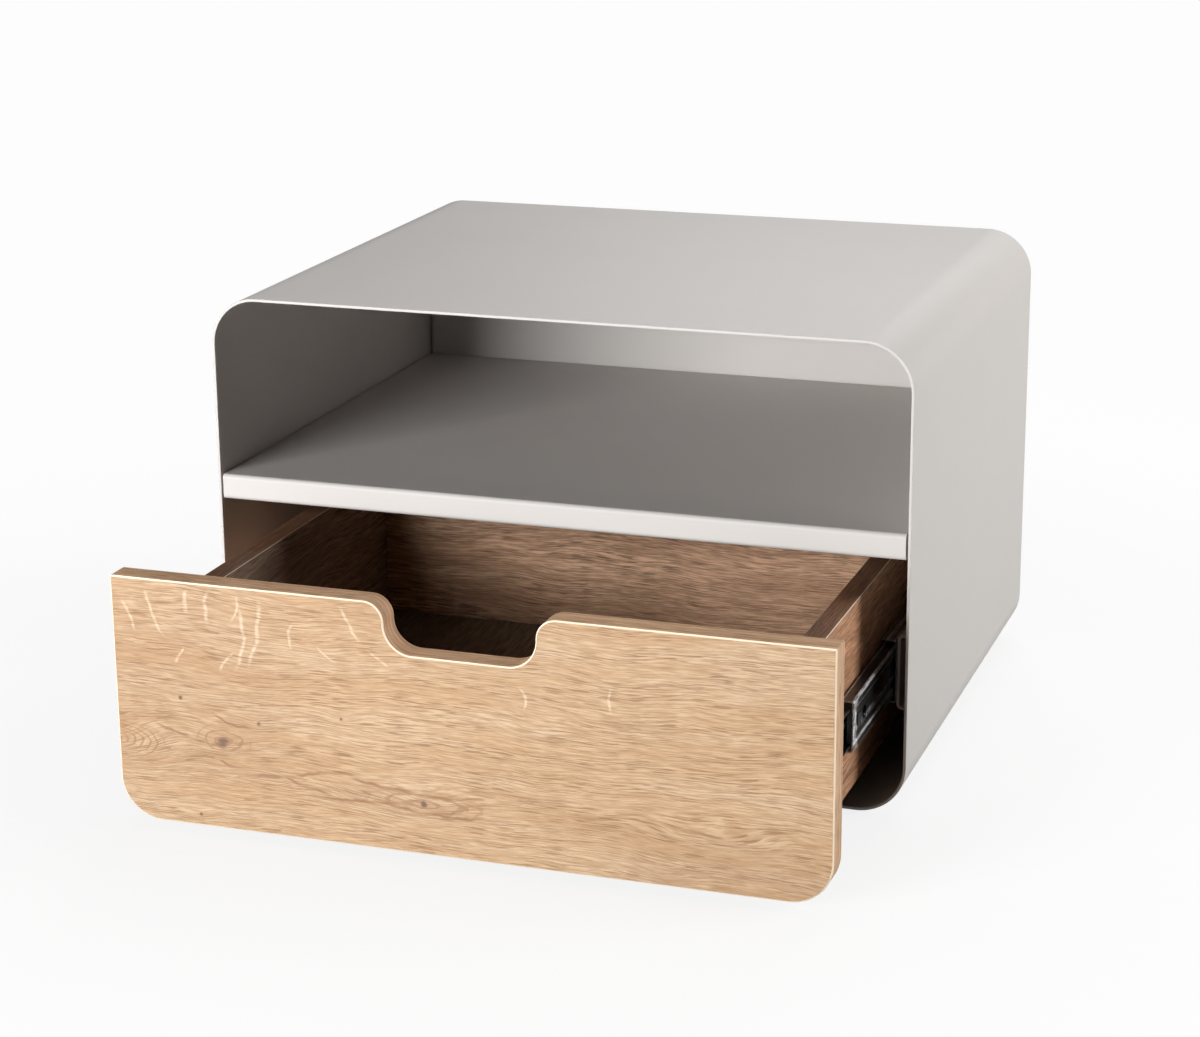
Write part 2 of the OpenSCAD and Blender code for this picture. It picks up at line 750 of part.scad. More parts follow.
front_edge_band();
drawer_side(LEFT);  // drawer_side_left
drawer_side(RIGHT);  // drawer_side_right
drawer_back();
drawer_bottom();
box_edge_bands();
cam_discs();
cam_bolts();
dowels();
back_screws();
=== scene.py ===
"""The looks of the side table with drawer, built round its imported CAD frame.

Sheet steel with a fine powder coat, an oak-faced drawer with banded edges, and plated slides.
Lengths are in metres, in the frame's own axes: X to the right, Y towards the back, Z up.
"""
import math

import bpy
import numpy as np
from mathutils import Matrix, Vector


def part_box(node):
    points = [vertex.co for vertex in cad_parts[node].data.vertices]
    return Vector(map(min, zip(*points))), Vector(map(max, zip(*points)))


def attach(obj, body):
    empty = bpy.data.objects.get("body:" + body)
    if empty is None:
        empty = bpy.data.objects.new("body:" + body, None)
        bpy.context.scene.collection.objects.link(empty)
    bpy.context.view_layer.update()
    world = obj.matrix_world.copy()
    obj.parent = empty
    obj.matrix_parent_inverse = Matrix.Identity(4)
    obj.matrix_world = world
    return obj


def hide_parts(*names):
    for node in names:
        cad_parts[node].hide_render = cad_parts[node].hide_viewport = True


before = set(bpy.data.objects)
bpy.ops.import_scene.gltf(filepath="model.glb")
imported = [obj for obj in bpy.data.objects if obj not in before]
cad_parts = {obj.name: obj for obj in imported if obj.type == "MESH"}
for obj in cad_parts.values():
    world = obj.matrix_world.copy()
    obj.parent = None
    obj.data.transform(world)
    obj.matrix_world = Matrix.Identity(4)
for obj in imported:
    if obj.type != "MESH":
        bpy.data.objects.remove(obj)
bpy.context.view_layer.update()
MM = 0.001


# ---------------------------------------------------------------- sizes read from the frame

shell_low, shell_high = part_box("shell")
front_low, front_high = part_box("front_edge_band")
band_low, band_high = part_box("box_edge_bands")
side_low, side_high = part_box("drawer_side_right")
back_low, back_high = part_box("drawer_back")

SHEET_T = 2.0 * MM            # steel sheet
SHELL_R = 34.0 * MM           # outer radius of the shell's corners
SHEET_EDGE_R = 0.4 * MM       # rounding that the coating gives a cut edge
FRONT_CORNER_R = 29.0 * MM    # lower corners of the drawer front
NOTCH_HALF_W = 51.5 * MM
NOTCH_DEPTH = 34.0 * MM
NOTCH_SHOULDER_R = 14.0 * MM
NOTCH_FOOT_R = 19.0 * MM
ARRIS = 0.9 * MM              # bevel that the router leaves along the banded edges
BAND_T = 1.2 * MM             # how far the banding reaches in from the edge
STRIP_T = 1.2 * MM            # rolled strip of the slides
ARC_STEPS = 14


# ---------------------------------------------------------------- camera, light and floor

CAMERA_LENS = 85.7            # millimetres, in front of a frame 36 mm wide
CAMERA_AIM = Vector((-0.0036, -0.0860, 0.1540))
CAMERA_DISTANCE = 2.0556
CAMERA_TURN = math.radians(19.14)     # round to the right of the middle
CAMERA_DROP = math.radians(16.63)     # looking down
CAMERA_ROLL = math.radians(-0.51)
LIGHT_AIM = (0.0, -0.1, 0.15)
WHITE = 0.982                 # brightness of the plain background
ROOM = 0.01                   # light that the room itself gives
NEAR, FAR = 0.35, 1.1         # where the floor begins and ends its fade into the background
NEAR_GLOW = 1.16              # brightness of the plain white that is mixed into the floor at NEAR
NEAR_SHARE = 0.72             # and its share there, which is 1 at FAR


def make_camera():
    """The camera: a long lens a little right of the middle, looking down on the open drawer."""
    data = bpy.data.cameras.new("camera")
    data.sensor_width = 36.0
    data.lens = CAMERA_LENS
    camera = bpy.data.objects.new("camera", data)
    bpy.context.scene.collection.objects.link(camera)
    ahead = Vector((-math.sin(CAMERA_TURN) * math.cos(CAMERA_DROP),
                    math.cos(CAMERA_TURN) * math.cos(CAMERA_DROP), -math.sin(CAMERA_DROP)))
    level = Vector((math.cos(CAMERA_TURN), math.sin(CAMERA_TURN), 0.0))
    upright = level.cross(ahead)
    right = math.cos(CAMERA_ROLL) * level + math.sin(CAMERA_ROLL) * upright
    up = math.cos(CAMERA_ROLL) * upright - math.sin(CAMERA_ROLL) * level
    camera.matrix_world = Matrix((
        (right.x, up.x, -ahead.x, 0.0),
        (right.y, up.y, -ahead.y, 0.0),
        (right.z, up.z, -ahead.z, 0.0),
        (0.0, 0.0, 0.0, 1.0),
    ))
    camera.location = CAMERA_AIM - CAMERA_DISTANCE * ahead
    bpy.context.scene.camera = camera


def soft_light(name, place, width, height, watts, tint=(1.0, 1.0, 1.0)):
    """A rectangular soft box that points at the table."""
    data = bpy.data.lights.new(name, "AREA")
    data.shape = "RECTANGLE"
    data.size = width
    data.size_y = height
    data.energy = watts
    data.color = tint
    light = bpy.data.objects.new(name, data)
    light.location = place
    light.rotation_mode = "QUATERNION"
    light.rotation_quaternion = (Vector(LIGHT_AIM) - Vector(place)).to_track_quat("-Z", "Y")
    bpy.context.scene.collection.objects.link(light)


def show_to_camera(w, plain, seen, share, output):
    """Joins two shaders by the share of the second one that camera rays see."""
    mix = w.node("ShaderNodeMixShader")
    w.join(share, mix.inputs[0])
    w.join(plain.outputs[0], mix.inputs[1])
    w.join(seen.outputs[0], mix.inputs[2])
    w.join(mix.outputs[0], output)


def make_studio():
    """A low key light from the front left, a side light, two weak lights behind, and a pale floor."""
    soft_light("key_light", (-1.12, -2.62, 0.62), 1.4, 1.2, 117.0, (0.98, 0.99, 1.0))
    soft_light("side_light", (2.6, 0.5, 1.1), 1.6, 1.6, 68.0)
    soft_light("rear_light", (0.0, 2.2, 1.7), 1.8, 1.0, 33.0)
    soft_light("top_light", (0.2, 0.4, 2.4), 1.8, 1.4, 10.0)
    world = bpy.data.worlds.new("studio")
    bpy.context.scene.world = world
    world.use_nodes = True
    w = Wiring(world.node_tree)
    w.tree.nodes.clear()
    seen = w.node("ShaderNodeBackground", Color=(1.0, 1.0, 1.0, 1.0), Strength=WHITE)
    room = w.node("ShaderNodeBackground", Color=(1.0, 1.0, 1.0, 1.0), Strength=ROOM)
    rays = w.node("ShaderNodeLightPath").outputs["Is Camera Ray"]
    show_to_camera(w, room, seen, rays, w.node("ShaderNodeOutputWorld").inputs["Surface"])
    make_floor()
    bpy.context.scene.view_settings.view_transform = "Standard"


def make_floor():
    """A pale floor that runs into the white background, with only a soft shadow under the table."""
    reach = 6.0
    z = shell_low.z - 0.3 * MM
    mesh = bpy.data.meshes.new("floor")
    mesh.from_pydata([(-reach, -reach, z), (reach, -reach, z), (reach, reach, z), (-reach, reach, z)],
                     [], [(0, 1, 2, 3)])
    floor = bpy.data.objects.new("floor", mesh)
    bpy.context.scene.collection.objects.link(floor)
    material, matt, w = new_material("floor")
    matt.inputs["Base Color"].default_value = (0.45, 0.45, 0.45, 1.0)
    matt.inputs["Roughness"].default_value = 0.9
    where = w.node("ShaderNodeTexCoord").outputs["Object"]
    away = w.node("ShaderNodeVectorMath", {"operation": "LENGTH"}, Vector=where).outputs["Value"]
    glow = w.node("ShaderNodeEmission", Color=(1.0, 1.0, 1.0, 1.0),
                  Strength=w.span(away, NEAR, FAR, NEAR_GLOW, WHITE))
    rays = w.node("ShaderNodeLightPath").outputs["Is Camera Ray"]
    share = w.math("MULTIPLY", rays, w.span(away, NEAR, FAR, NEAR_SHARE, 1.0))
    show_to_camera(w, matt, glow, share, w.tree.nodes["Material Output"].inputs["Surface"])
    mesh.materials.append(material)


# ---------------------------------------------------------------- node wiring

class Wiring:
    """Short calls that add nodes to one tree and join them."""

    def __init__(self, tree):
        self.tree = tree

    def join(self, a, b):
        """Joins an output to an input."""
        self.tree.links.new(a, b)

    def feed(self, socket, value):
        """Sets a socket to a value, or joins it to another socket."""
        if isinstance(value, bpy.types.NodeSocket):
            self.join(value, socket)
        else:
            socket.default_value = value

    def node(self, kind, settings=None, **inputs):
        """Adds a node with its settings, and feeds its inputs by name."""
        made = self.tree.nodes.new(kind)
        for key, value in (settings or {}).items():
            setattr(made, key, value)
        for key, value in inputs.items():
            self.feed(made.inputs[key.replace("_", " ")], value)
        return made

    def group(self, tree, **inputs):
        """Places a shader node group and feeds its inputs."""
        return self.node("ShaderNodeGroup", {"node_tree": tree}, **inputs).outputs

    def math(self, operation, a, b=0.0):
        """One step of arithmetic."""
        made = self.node("ShaderNodeMath", {"operation": operation})
        for socket, value in zip(made.inputs, (a, b)):
            self.feed(socket, value)
        return made.outputs[0]

    def span(self, value, low, high, to_low=0.0, to_high=1.0):
        """Stretches value from low..high to to_low..to_high, smoothly and clamped."""
        made = self.node("ShaderNodeMapRange", {"interpolation_type": "SMOOTHSTEP"})
        self.join(value, made.inputs["Value"])
        for name, number in (("From Min", low), ("From Max", high), ("To Min", to_low), ("To Max", to_high)):
            made.inputs[name].default_value = number
        return made.outputs["Result"]

    def blend(self, factor, a, b, blend_type="MIX"):
        """Mixes two colours by a mask."""
        made = self.node("ShaderNodeMix", {"data_type": "RGBA", "blend_type": blend_type})
        for socket, value in ((made.inputs[0], factor), (made.inputs[6], a), (made.inputs[7], b)):
            self.feed(socket, value)
        return made.outputs[2]

    def noise(self, vector, detail, roughness):
        """A soft random value, mostly between 0.3 and 0.7, that changes over a length of 1."""
        made = self.node("ShaderNodeTexNoise", Vector=vector, Scale=1.0, Detail=detail,
                         Roughness=roughness)
        return made.outputs["Fac"]

    def stretch(self, vector, scale, shift=(0.0, 0.0, 0.0)):
        """Scales a vector by an amount of its own along each axis, and shifts it."""
        made = self.node("ShaderNodeVectorMath", {"operation": "MULTIPLY_ADD"})
        self.join(vector, made.inputs[0])
        made.inputs[1].default_value = scale
        made.inputs[2].default_value = shift
        return made.outputs[0]

    def parts(self, vector):
        """The X, Y and Z of a vector."""
        return self.node("ShaderNodeSeparateXYZ", Vector=vector).outputs

    def pack(self, x, y, z):
        """A vector from its X, Y and Z."""
        made = self.node("ShaderNodeCombineXYZ")
        for socket, value in zip(made.inputs, (x, y, z)):
            self.feed(socket, value)
        return made.outputs[0]

    def place(self):
        """Object coordinates in millimetres."""
        where = self.node("ShaderNodeTexCoord").outputs["Object"]
        return self.stretch(where, (1000.0, 1000.0, 1000.0))


def new_group(name, inputs, outputs):
    """Makes an empty shader node group, with its inputs and outputs as (name, kind, default)."""
    tree = bpy.data.node_groups.new(name, "ShaderNodeTree")
    kinds = {"vector": "NodeSocketVector", "value": "NodeSocketFloat", "colour": "NodeSocketColor"}
    for side, sockets in (("INPUT", inputs), ("OUTPUT", outputs)):
        for label, kind, default in sockets:
            socket = tree.interface.new_socket(label, in_out=side, socket_type=kinds[kind])
            if default is not None:
                socket.default_value = default
    w = Wiring(tree)
    return w, w.node("NodeGroupInput").outputs, w.node("NodeGroupOutput").inputs


# ---------------------------------------------------------------- shared effects

def make_sway_group():
    """The slow wander of the grain lines over a board: a broad noise times an amount."""
    w, given, gives = new_group("sway", [("Place", "vector", (0, 0, 0)), ("Amount", "value", 30.0)],
                                [("Sway", "value", None)])
    drift = w.noise(w.stretch(given["Place"], (0.006, 0.006, 0.012)), 2.0, 0.5)
    w.join(w.math("MULTIPLY", drift, given["Amount"]), gives["Sway"])
    return w.tree


def make_oak_group():
    """Oak, coloured in layers: two broad tones, growth rings, fibres and pores. Its vector is in
    millimetres: X runs with the grain, Y across it. Height is low in the fibres and the pores."""
    w, given, gives = new_group(
        "oak",
        [("Grain", "vector", (0, 0, 0)), ("Pale", "colour", None), ("Warm", "colour", None),
         ("Ring", "colour", None), ("Fibre", "colour", None), ("Pore", "colour", None)],
        [("Colour", "colour", None), ("Pores", "value", None), ("Roughness", "value", None),
         ("Height", "value", None)])
    grain = given["Grain"]
    broad = w.noise(w.stretch(grain, (0.007, 0.050, 0.03)), 3.0, 0.6)
    coarse = w.noise(w.stretch(grain, (0.042, 0.80, 0.6), (3.0, 0.0, 0.0)), 2.0, 0.6)
    fine = w.noise(w.stretch(grain, (0.085, 1.60, 1.2), (9.0, 4.0, 0.0)), 2.0, 0.6)
    threads = w.math("ADD", w.math("MULTIPLY", coarse, 0.5), w.math("MULTIPLY", fine, 0.5))
    fibre = w.span(threads, 0.40, 0.60)
    dashes = w.noise(w.stretch(grain, (0.055, 1.30, 1.0), (17.0, 8.0, 2.0)), 1.0, 0.4)
    crowd = w.noise(w.stretch(grain, (0.014, 0.13, 0.1), (5.0, 1.0, 0.0)), 2.0, 0.5)
    pores = w.math("MULTIPLY", w.span(dashes, 0.53, 0.60), w.span(crowd, 0.38, 0.60, 0.3, 1.0))
    across = w.math("MULTIPLY", w.parts(grain)[1], 0.80)
    wave = w.math("SINE", w.math("ADD", across, w.math("MULTIPLY", broad, 16.0)))
    rings = w.span(wave, 0.45, 1.0)
    colour = w.blend(w.span(broad, 0.32, 0.68), given["Pale"], given["Warm"])
    for mask, strength, tone in ((rings, 0.28, "Ring"), (fibre, 0.66, "Fibre"), (pores, 0.66, "Pore")):
        colour = w.blend(w.math("MULTIPLY", mask, strength), colour, given[tone])
    w.join(colour, gives["Colour"])
    w.join(pores, gives["Pores"])
    w.join(w.span(fibre, 0.0, 1.0, 0.46, 0.60), gives["Roughness"])
    w.join(w.math("SUBTRACT", w.math("MULTIPLY", fibre, -0.3), pores), gives["Height"])
    return w.tree


def make_knot_group():
    """A knot. Bend lifts the grain lines round it by hump * exp(-r * r), where r is the distance
    from the middle over the half length and the half height. Rings run round it at even steps
    of r, and the core is the dark spot in the middle."""
    w, given, gives = new_group(
        "knot",
        [("Place", "vector", (0, 0, 0)), ("Middle X", "value", 0.0), ("Middle Z", "value", 0.0),
         ("Half length", "value", 40.0), ("Half height", "value", 14.0), ("Hump", "value", 12.0),
         ("Core", "value", 3.0), ("Lines", "value", 6.0)],
        [("Bend", "value", None), ("Core", "value", None), ("Rings", "value", None)])
    x, _, z = w.parts(given["Place"])[:3]
    dx = w.math("SUBTRACT", x, given["Middle X"])
    dz = w.math("SUBTRACT", z, given["Middle Z"])
    rx = w.math("DIVIDE", dx, given["Half length"])
    rz = w.math("DIVIDE", dz, given["Half height"])
    square = w.math("ADD", w.math("MULTIPLY", rx, rx), w.math("MULTIPLY", rz, rz))
    fade = w.math("EXPONENT", w.math("MULTIPLY", square, -1.0))
    w.join(w.math("MULTIPLY", fade, given["Hump"]), gives["Bend"])
    ragged = w.noise(w.stretch(given["Place"], (0.10, 0.13, 0.18)), 2.0, 0.5)
    reach = w.math("SQRT", w.math("ADD", w.math("MULTIPLY", dx, dx), w.math("MULTIPLY", dz, dz)))
    near = w.math("ADD", w.math("DIVIDE", reach, given["Core"]), w.math("MULTIPLY", ragged, 1.6))
    w.join(w.span(near, 1.9, 1.1), gives["Core"])
    turns = w.math("MULTIPLY", w.math("SQRT", square), w.math("MULTIPLY", given["Lines"], 2.0 * math.pi))
    ring = w.math("SINE", w.math("ADD", turns, w.math("MULTIPLY", ragged, 6.0)))
    w.join(w.math("MULTIPLY", w.span(ring, 0.2, 0.95), w.span(square, 1.2, 0.5)), gives["Rings"])
    return w.tree


def make_stroke_group():
    """One soft stroke, for a ray fleck, a growth line, a darker patch of wood or a patch of painted shade. It
    runs along Z past a middle, leaning and bowed, wanders a little, breaks up into pieces, and fades at its
    ends."""
    w, given, gives = new_group(
        "stroke",
        [("Place", "vector", (0, 0, 0)), ("Middle X", "value", 0.0), ("Middle Z", "value", 0.0),
         ("Half length", "value", 10.0), ("Lean", "value", 0.0), ("Bow", "value", 0.0),
         ("Half width", "value", 0.7), ("Pieces", "value", 0.5)],
        [("Stroke", "value", None)])
    x, _, z = w.parts(given["Place"])[:3]
    run = w.math("SUBTRACT", z, given["Middle Z"])
    up = w.math("DIVIDE", run, given["Half length"])
    lean = w.math("MULTIPLY", up, given["Lean"])
    bow = w.math("MULTIPLY", w.math("MULTIPLY", up, up), given["Bow"])
    wander = w.noise(w.stretch(given["Place"], (0.04, 0.05, 0.10)), 1.0, 0.4)
    sway = w.math("MULTIPLY", w.math("SUBTRACT", wander, 0.5), 5.0)
    line = w.math("ADD", w.math("ADD", given["Middle X"], lean), w.math("ADD", bow, sway))
    off = w.math("ABSOLUTE", w.math("SUBTRACT", x, line))
    stroke = w.span(w.math("DIVIDE", off, given["Half width"]), 1.0, 0.1)
    ends = w.span(w.math("ABSOLUTE", up), 1.0, 0.5)
    pieces = w.pack(w.math("MULTIPLY", x, 0.2), w.math("MULTIPLY", given["Middle X"], 0.37),
                    w.math("MULTIPLY", run, given["Pieces"]))
    broken = w.span(w.noise(pieces, 2.0, 0.6), 0.36, 0.54, 0.35, 1.0)
    w.join(w.math("MULTIPLY", w.math("MULTIPLY", stroke, ends), broken), gives["Stroke"])
    return w.tree


def make_grit_group():
    """The fine grit of a coating or a casting: a height and a slight change of tone."""
    w, given, gives = new_group("grit", [("Place", "vector", (0, 0, 0)), ("Grain", "value", 0.5)],
                                [("Height", "value", None), ("Tone", "value", None)])
    size = w.node("ShaderNodeVectorMath", {"operation": "SCALE"})
    w.join(given["Place"], size.inputs[0])
    w.join(w.math("DIVIDE", 1.0, given["Grain"]), size.inputs["Scale"])
    fine = w.noise(size.outputs[0], 2.0, 0.6)
    w.join(fine, gives["Height"])
    broad = w.noise(w.stretch(given["Place"], (0.012, 0.012, 0.012)), 2.0, 0.5)
    w.join(broad, gives["Tone"])
    return w.tree


def make_rolled_group():
    """Fine straight rolling marks along Y and small scuffs, for plated steel strip."""
    w, given, gives = new_group("rolled", [("Place", "vector", (0, 0, 0))],
                                [("Marks", "value", None), ("Scuffs", "value", None)])
    w.join(w.noise(w.stretch(given["Place"], (2.2, 0.02, 2.2)), 2.0, 0.6), gives["Marks"])
    w.join(w.span(w.noise(w.stretch(given["Place"], (0.2, 0.05, 0.2)), 3.0, 0.6), 0.5, 0.75),
           gives["Scuffs"])
    return w.tree


def make_rubbed_group():
    """Plating that is rubbed through in patches, also serving as painted highlight and painted reflection:
    the amount given times a noise drawn out along Y.
    """
    w, given, gives = new_group("rubbed", [("Place", "vector", (0, 0, 0)), ("Wear", "value", 0.0)],
                                [("Rubbed", "value", None)])
    noise = w.noise(w.stretch(given["Place"], (0.5, 0.12, 0.5)), 2.0, 0.6)
    w.join(w.math("MULTIPLY", given["Wear"], w.span(noise, 0.30, 0.55, 0.45, 1.0)), gives["Rubbed"])
    return w.tree


def make_stripes_group():
    """The darker lengthwise stripes of banding: a sine across the band, bent by a noise."""
    w, given, gives = new_group("stripes", [("Grain", "vector", (0, 0, 0)), ("Pitch", "value", 5.0)],
                                [("Stripes", "value", None)])
    way, across, _ = w.parts(given["Grain"])[:3]
    bend = w.noise(w.pack(w.math("MULTIPLY", way, 0.01), across, 0.0), 1.0, 0.5)
    turn = w.math("DIVIDE", w.math("MULTIPLY", across, 2.0 * math.pi), given["Pitch"])
    wave = w.math("SINE", w.math("ADD", turn, w.math("MULTIPLY", bend, 3.0)))
    w.join(w.math("MULTIPLY", w.span(wave, 0.3, 1.0), 0.35), gives["Stripes"])
    return w.tree


SWAY = make_sway_group()
OAK = make_oak_group()
KNOT = make_knot_group()
STROKE = make_stroke_group()
GRIT = make_grit_group()
ROLLED = make_rolled_group()
RUBBED_AND_PAINTED_HIGHLIGHT = make_rubbed_group()
STRIPES = make_stripes_group()


# ---------------------------------------------------------------- materials

def new_material(name):
    """A material with its Principled shader, ready to wire."""
    material = bpy.data.materials.new(name)
    material.use_nodes = True
    shader = material.node_tree.nodes["Principled BSDF"]
    return material, shader, Wiring(material.node_tree)


def add_bump(w, shader, height, strength, distance):
    """Fine relief, with its height as a share of a distance."""
    bump = w.node("ShaderNodeBump", Height=height, Strength=strength, Distance=distance)
    w.join(bump.outputs["Normal"], shader.inputs["Normal"])


def powder_coat():
    """Matt, finely textured powder coat in a warm light grey."""
    material, shader, w = new_material("powder_coat")
    place = w.place()
    grit = w.group(GRIT, Place=place, Grain=0.55)
    w.join(w.blend(grit["Tone"], (0.535, 0.507, 0.482, 1.0), (0.557, 0.529, 0.504, 1.0)),
           shader.inputs["Base Color"])
    w.join(w.span(grit["Height"], 0.2, 0.8, 0.50, 0.62), shader.inputs["Roughness"])
    shader.inputs["Specular IOR Level"].default_value = 0.45
    add_bump(w, shader, grit["Height"], 0.25, 0.12 * MM)
    return material


FRONT_TONES = {
    "Pale": (0.552, 0.399, 0.257, 1.0),
    "Warm": (0.499, 0.329, 0.186, 1.0),
    "Ring": (0.362, 0.211, 0.105, 1.0),
    "Fibre": (0.331, 0.186, 0.088, 1.0),
    "Pore": (0.207, 0.103, 0.046, 1.0),
}
# oak of the drawer box's boards: the same decor as the front, made brighter as painted light to make up for
# the shade inside the box
BOX_TONES_PAINTED_LIGHT = {
    "Pale": (0.837, 0.521, 0.332, 1.0),
    "Warm": (0.595, 0.344, 0.204, 1.0),
    "Ring": (0.335, 0.186, 0.106, 1.0),
    "Fibre": (0.279, 0.151, 0.085, 1.0),
    "Pore": (0.121, 0.061, 0.034, 1.0),
}
# oak of the drawer floor: the box's oak made darker and greyer, as painted shade inside the drawer box
FLOOR_TONES_PAINTED_SHADE = {
    "Pale": (0.298, 0.238, 0.197, 1.0),
    "Warm": (0.217, 0.167, 0.134, 1.0),
    "Ring": (0.136, 0.099, 0.075, 1.0),
    "Fibre": (0.118, 0.083, 0.063, 1.0),
    "Pore": (0.056, 0.037, 0.027, 1.0),
}
FRONT_BAND_TONES = {
    "Pale": (0.799, 0.514, 0.309, 1.0),
    "Warm": (0.661, 0.409, 0.235, 1.0),
    "Ring": (0.300, 0.165, 0.092, 1.0),
    "Fibre": (0.437, 0.254, 0.146, 1.0),
    "Pore": (0.237, 0.132, 0.074, 1.0),
}
BOX_BAND_TONES = {
    "Pale": (0.268, 0.134, 0.075, 1.0),
    "Warm": (0.217, 0.103, 0.055, 1.0),
    "Ring": (0.101, 0.044, 0.023, 1.0),
    "Fibre": (0.145, 0.067, 0.034, 1.0),
    "Pore": (0.079, 0.034, 0.018, 1.0),
}
FLECK_COLOUR = (0.76, 0.61, 0.45, 1.0)
LINE_COLOUR = (0.265, 0.140, 0.068, 1.0)
KNOT_COLOUR = (0.13, 0.070, 0.048, 1.0)
CUT_COLOUR = (0.90, 0.77, 0.58, 1.0)      # pale core of the banding, where it is routed
# painted shade on the drawer sides, multiplied over the oak: darker and greyer on the inner faces, darker and
# redder on the outer ones
INNER_PAINTED_SHADE = (0.60, 0.70, 0.84, 1.0)
OUTER_PAINTED_SHADE = (0.76, 0.66, 0.58, 1.0)
STRIPE_PITCH = 5.2                        # millimetres between the stripes of the banding

# Knots of the front, in millimetres: middle X and Z, half length, half height, hump, radius of
# the dark core, and the number of rings, which show where there are more than one. A core of
# 0.1 can't be seen, so that such a knot only bends the grain.
KNOTS = (
    (-168.0, 68.0, 22.0, 12.0, 7.0, 5.2, 3.0),
    (-27.0, 41.0, 44.0, 10.0, 8.0, 2.9, 3.0),
    (-248.0, 61.0, 41.0, 17.0, 16.0, 0.1, 7.5),
    (-142.0, 83.0, 12.0, 6.0, 3.0, 2.2, 1.0),
    (-83.0, 93.0, 12.0, 5.0, 3.0, 1.6, 1.0),
    (-198.0, 95.0, 10.0, 5.0, 2.5, 1.8, 1.0),
    (-187.0, 14.0, 10.0, 5.0, 2.5, 2.2, 1.0),
    (170.0, 40.0, 60.0, 9.0, 8.0, 0.1, 1.0),
)
# Ray flecks, across the grain: middle X and Z, half length, lean at the top, bow, half width.
FLECKS = (
    (-233.0, 149.0, 12.0, -5.0, 0.0, 1.6),
    (-216.0, 152.0, 18.0, -7.0, 3.0, 1.8),
    (-191.0, 162.0, 10.0, 0.0, 2.0, 2.2),
    (-176.0, 160.0, 13.0, 1.0, 2.0, 2.0),
    (-154.0, 160.0, 10.0, 3.0, -2.0, 1.5),
    (-150.0, 140.0, 25.0, 2.0, -6.0, 1.9),
    (-140.0, 145.0, 27.0, 5.0, -4.0, 2.0),
    (-75.0, 158.0, 13.0, -7.0, 2.0, 1.7),
    (-56.0, 137.0, 6.0, -8.0, 0.0, 1.9),
    (-197.0, 125.0, 7.0, 3.0, 0.0, 1.4),
    (-163.0, 124.0, 8.0, 6.0, 2.0, 1.5),
    (-118.0, 146.0, 10.0, 1.0, 4.0, 1.4),
    (-93.0, 136.0, 6.0, -8.0, 2.0, 1.4),
    (45.0, 121.0, 9.0, -3.0, -6.0, 1.4),
    (100.0, 126.0, 10.0, 0.0, 1.0, 1.4),
)
# Growth lines, along the grain: middle Z and X, half length, rise, bow, half width.
GROWTH_LINES = (
    (47.0, -141.0, 24.0, 2.0, -2.0, 2.1),
    (53.0, -103.0, 28.0, 6.0, 0.0, 2.0),
    (43.0, -108.0, 22.0, -6.0, 1.0, 2.1),
    (38.0, -72.0, 36.0, 1.0, -2.0, 2.1),
    (49.0, -55.0, 28.0, -3.0, 3.0, 1.9),
    (67.0, -190.0, 34.0, -8.0, 2.0, 2.1),
    (56.0, -186.0, 36.0, -5.0, -3.0, 2.1),
    (80.0, -160.0, 20.0, -5.0, 3.0, 1.9),
    (35.0, -20.0, 46.0, -2.0, 3.0, 1.9),
    (47.0, -20.0, 36.0, -2.0, -3.0, 1.8),
)
# Darker patches, in the same order as the growth lines. The rows at the left end (X -250) and at the lower
# right (X 215 and 200, Z 0 and 20) are painted shade, where less light falls on the front; the other rows are
# darker wood.
DARK_PATCHES_AND_PAINTED_SHADE = (
    (90.0, -250.0, 170.0, 0.0, 0.0, 130.0),
    (0.0, 215.0, 150.0, 0.0, 0.0, 75.0),
    (58.0, -148.0, 34.0, -9.0, 0.0, 9.0),
    (42.0, -45.0, 60.0, -1.0, 2.0, 10.0),
    (40.0, 105.0, 70.0, -3.0, 0.0, 7.0),
    (39.0, 189.0, 40.0, -2.0, 0.0, 6.0),
    (53.0, 38.0, 40.0, -2.0, 0.0, 5.0),
    (110.0, 124.0, 45.0, -2.0, 0.0, 5.0),
    (20.0, 200.0, 60.0, 0.0, 0.0, 14.0),
    (166.0, -60.0, 90.0, 0.0, 0.0, 4.0),
)


def lay_oak(w, shader, grain, tones):
    """Places the oak effect in a material, wires its gloss and relief, and gives its outputs."""
    oak = w.group(OAK, Grain=grain, **tones)
    w.join(oak["Roughness"], shader.inputs["Roughness"])
    shader.inputs["Specular IOR Level"].default_value = 0.35
    add_bump(w, shader, oak["Height"], 0.35, 0.25 * MM)
    return oak


def strokes(w, place, rows, pieces):
    """A mask of many strokes: at each point the strongest of them."""
    mask = 0.0
    for middle_x, middle_z, half_l, lean, bow, half_w in rows:
        one = w.group(STROKE, Place=place, Middle_X=middle_x, Middle_Z=middle_z, Half_length=half_l,
                      Lean=lean, Bow=bow, Half_width=half_w, Pieces=pieces)
        mask = w.math("MAXIMUM", one["Stroke"], mask)
    return mask


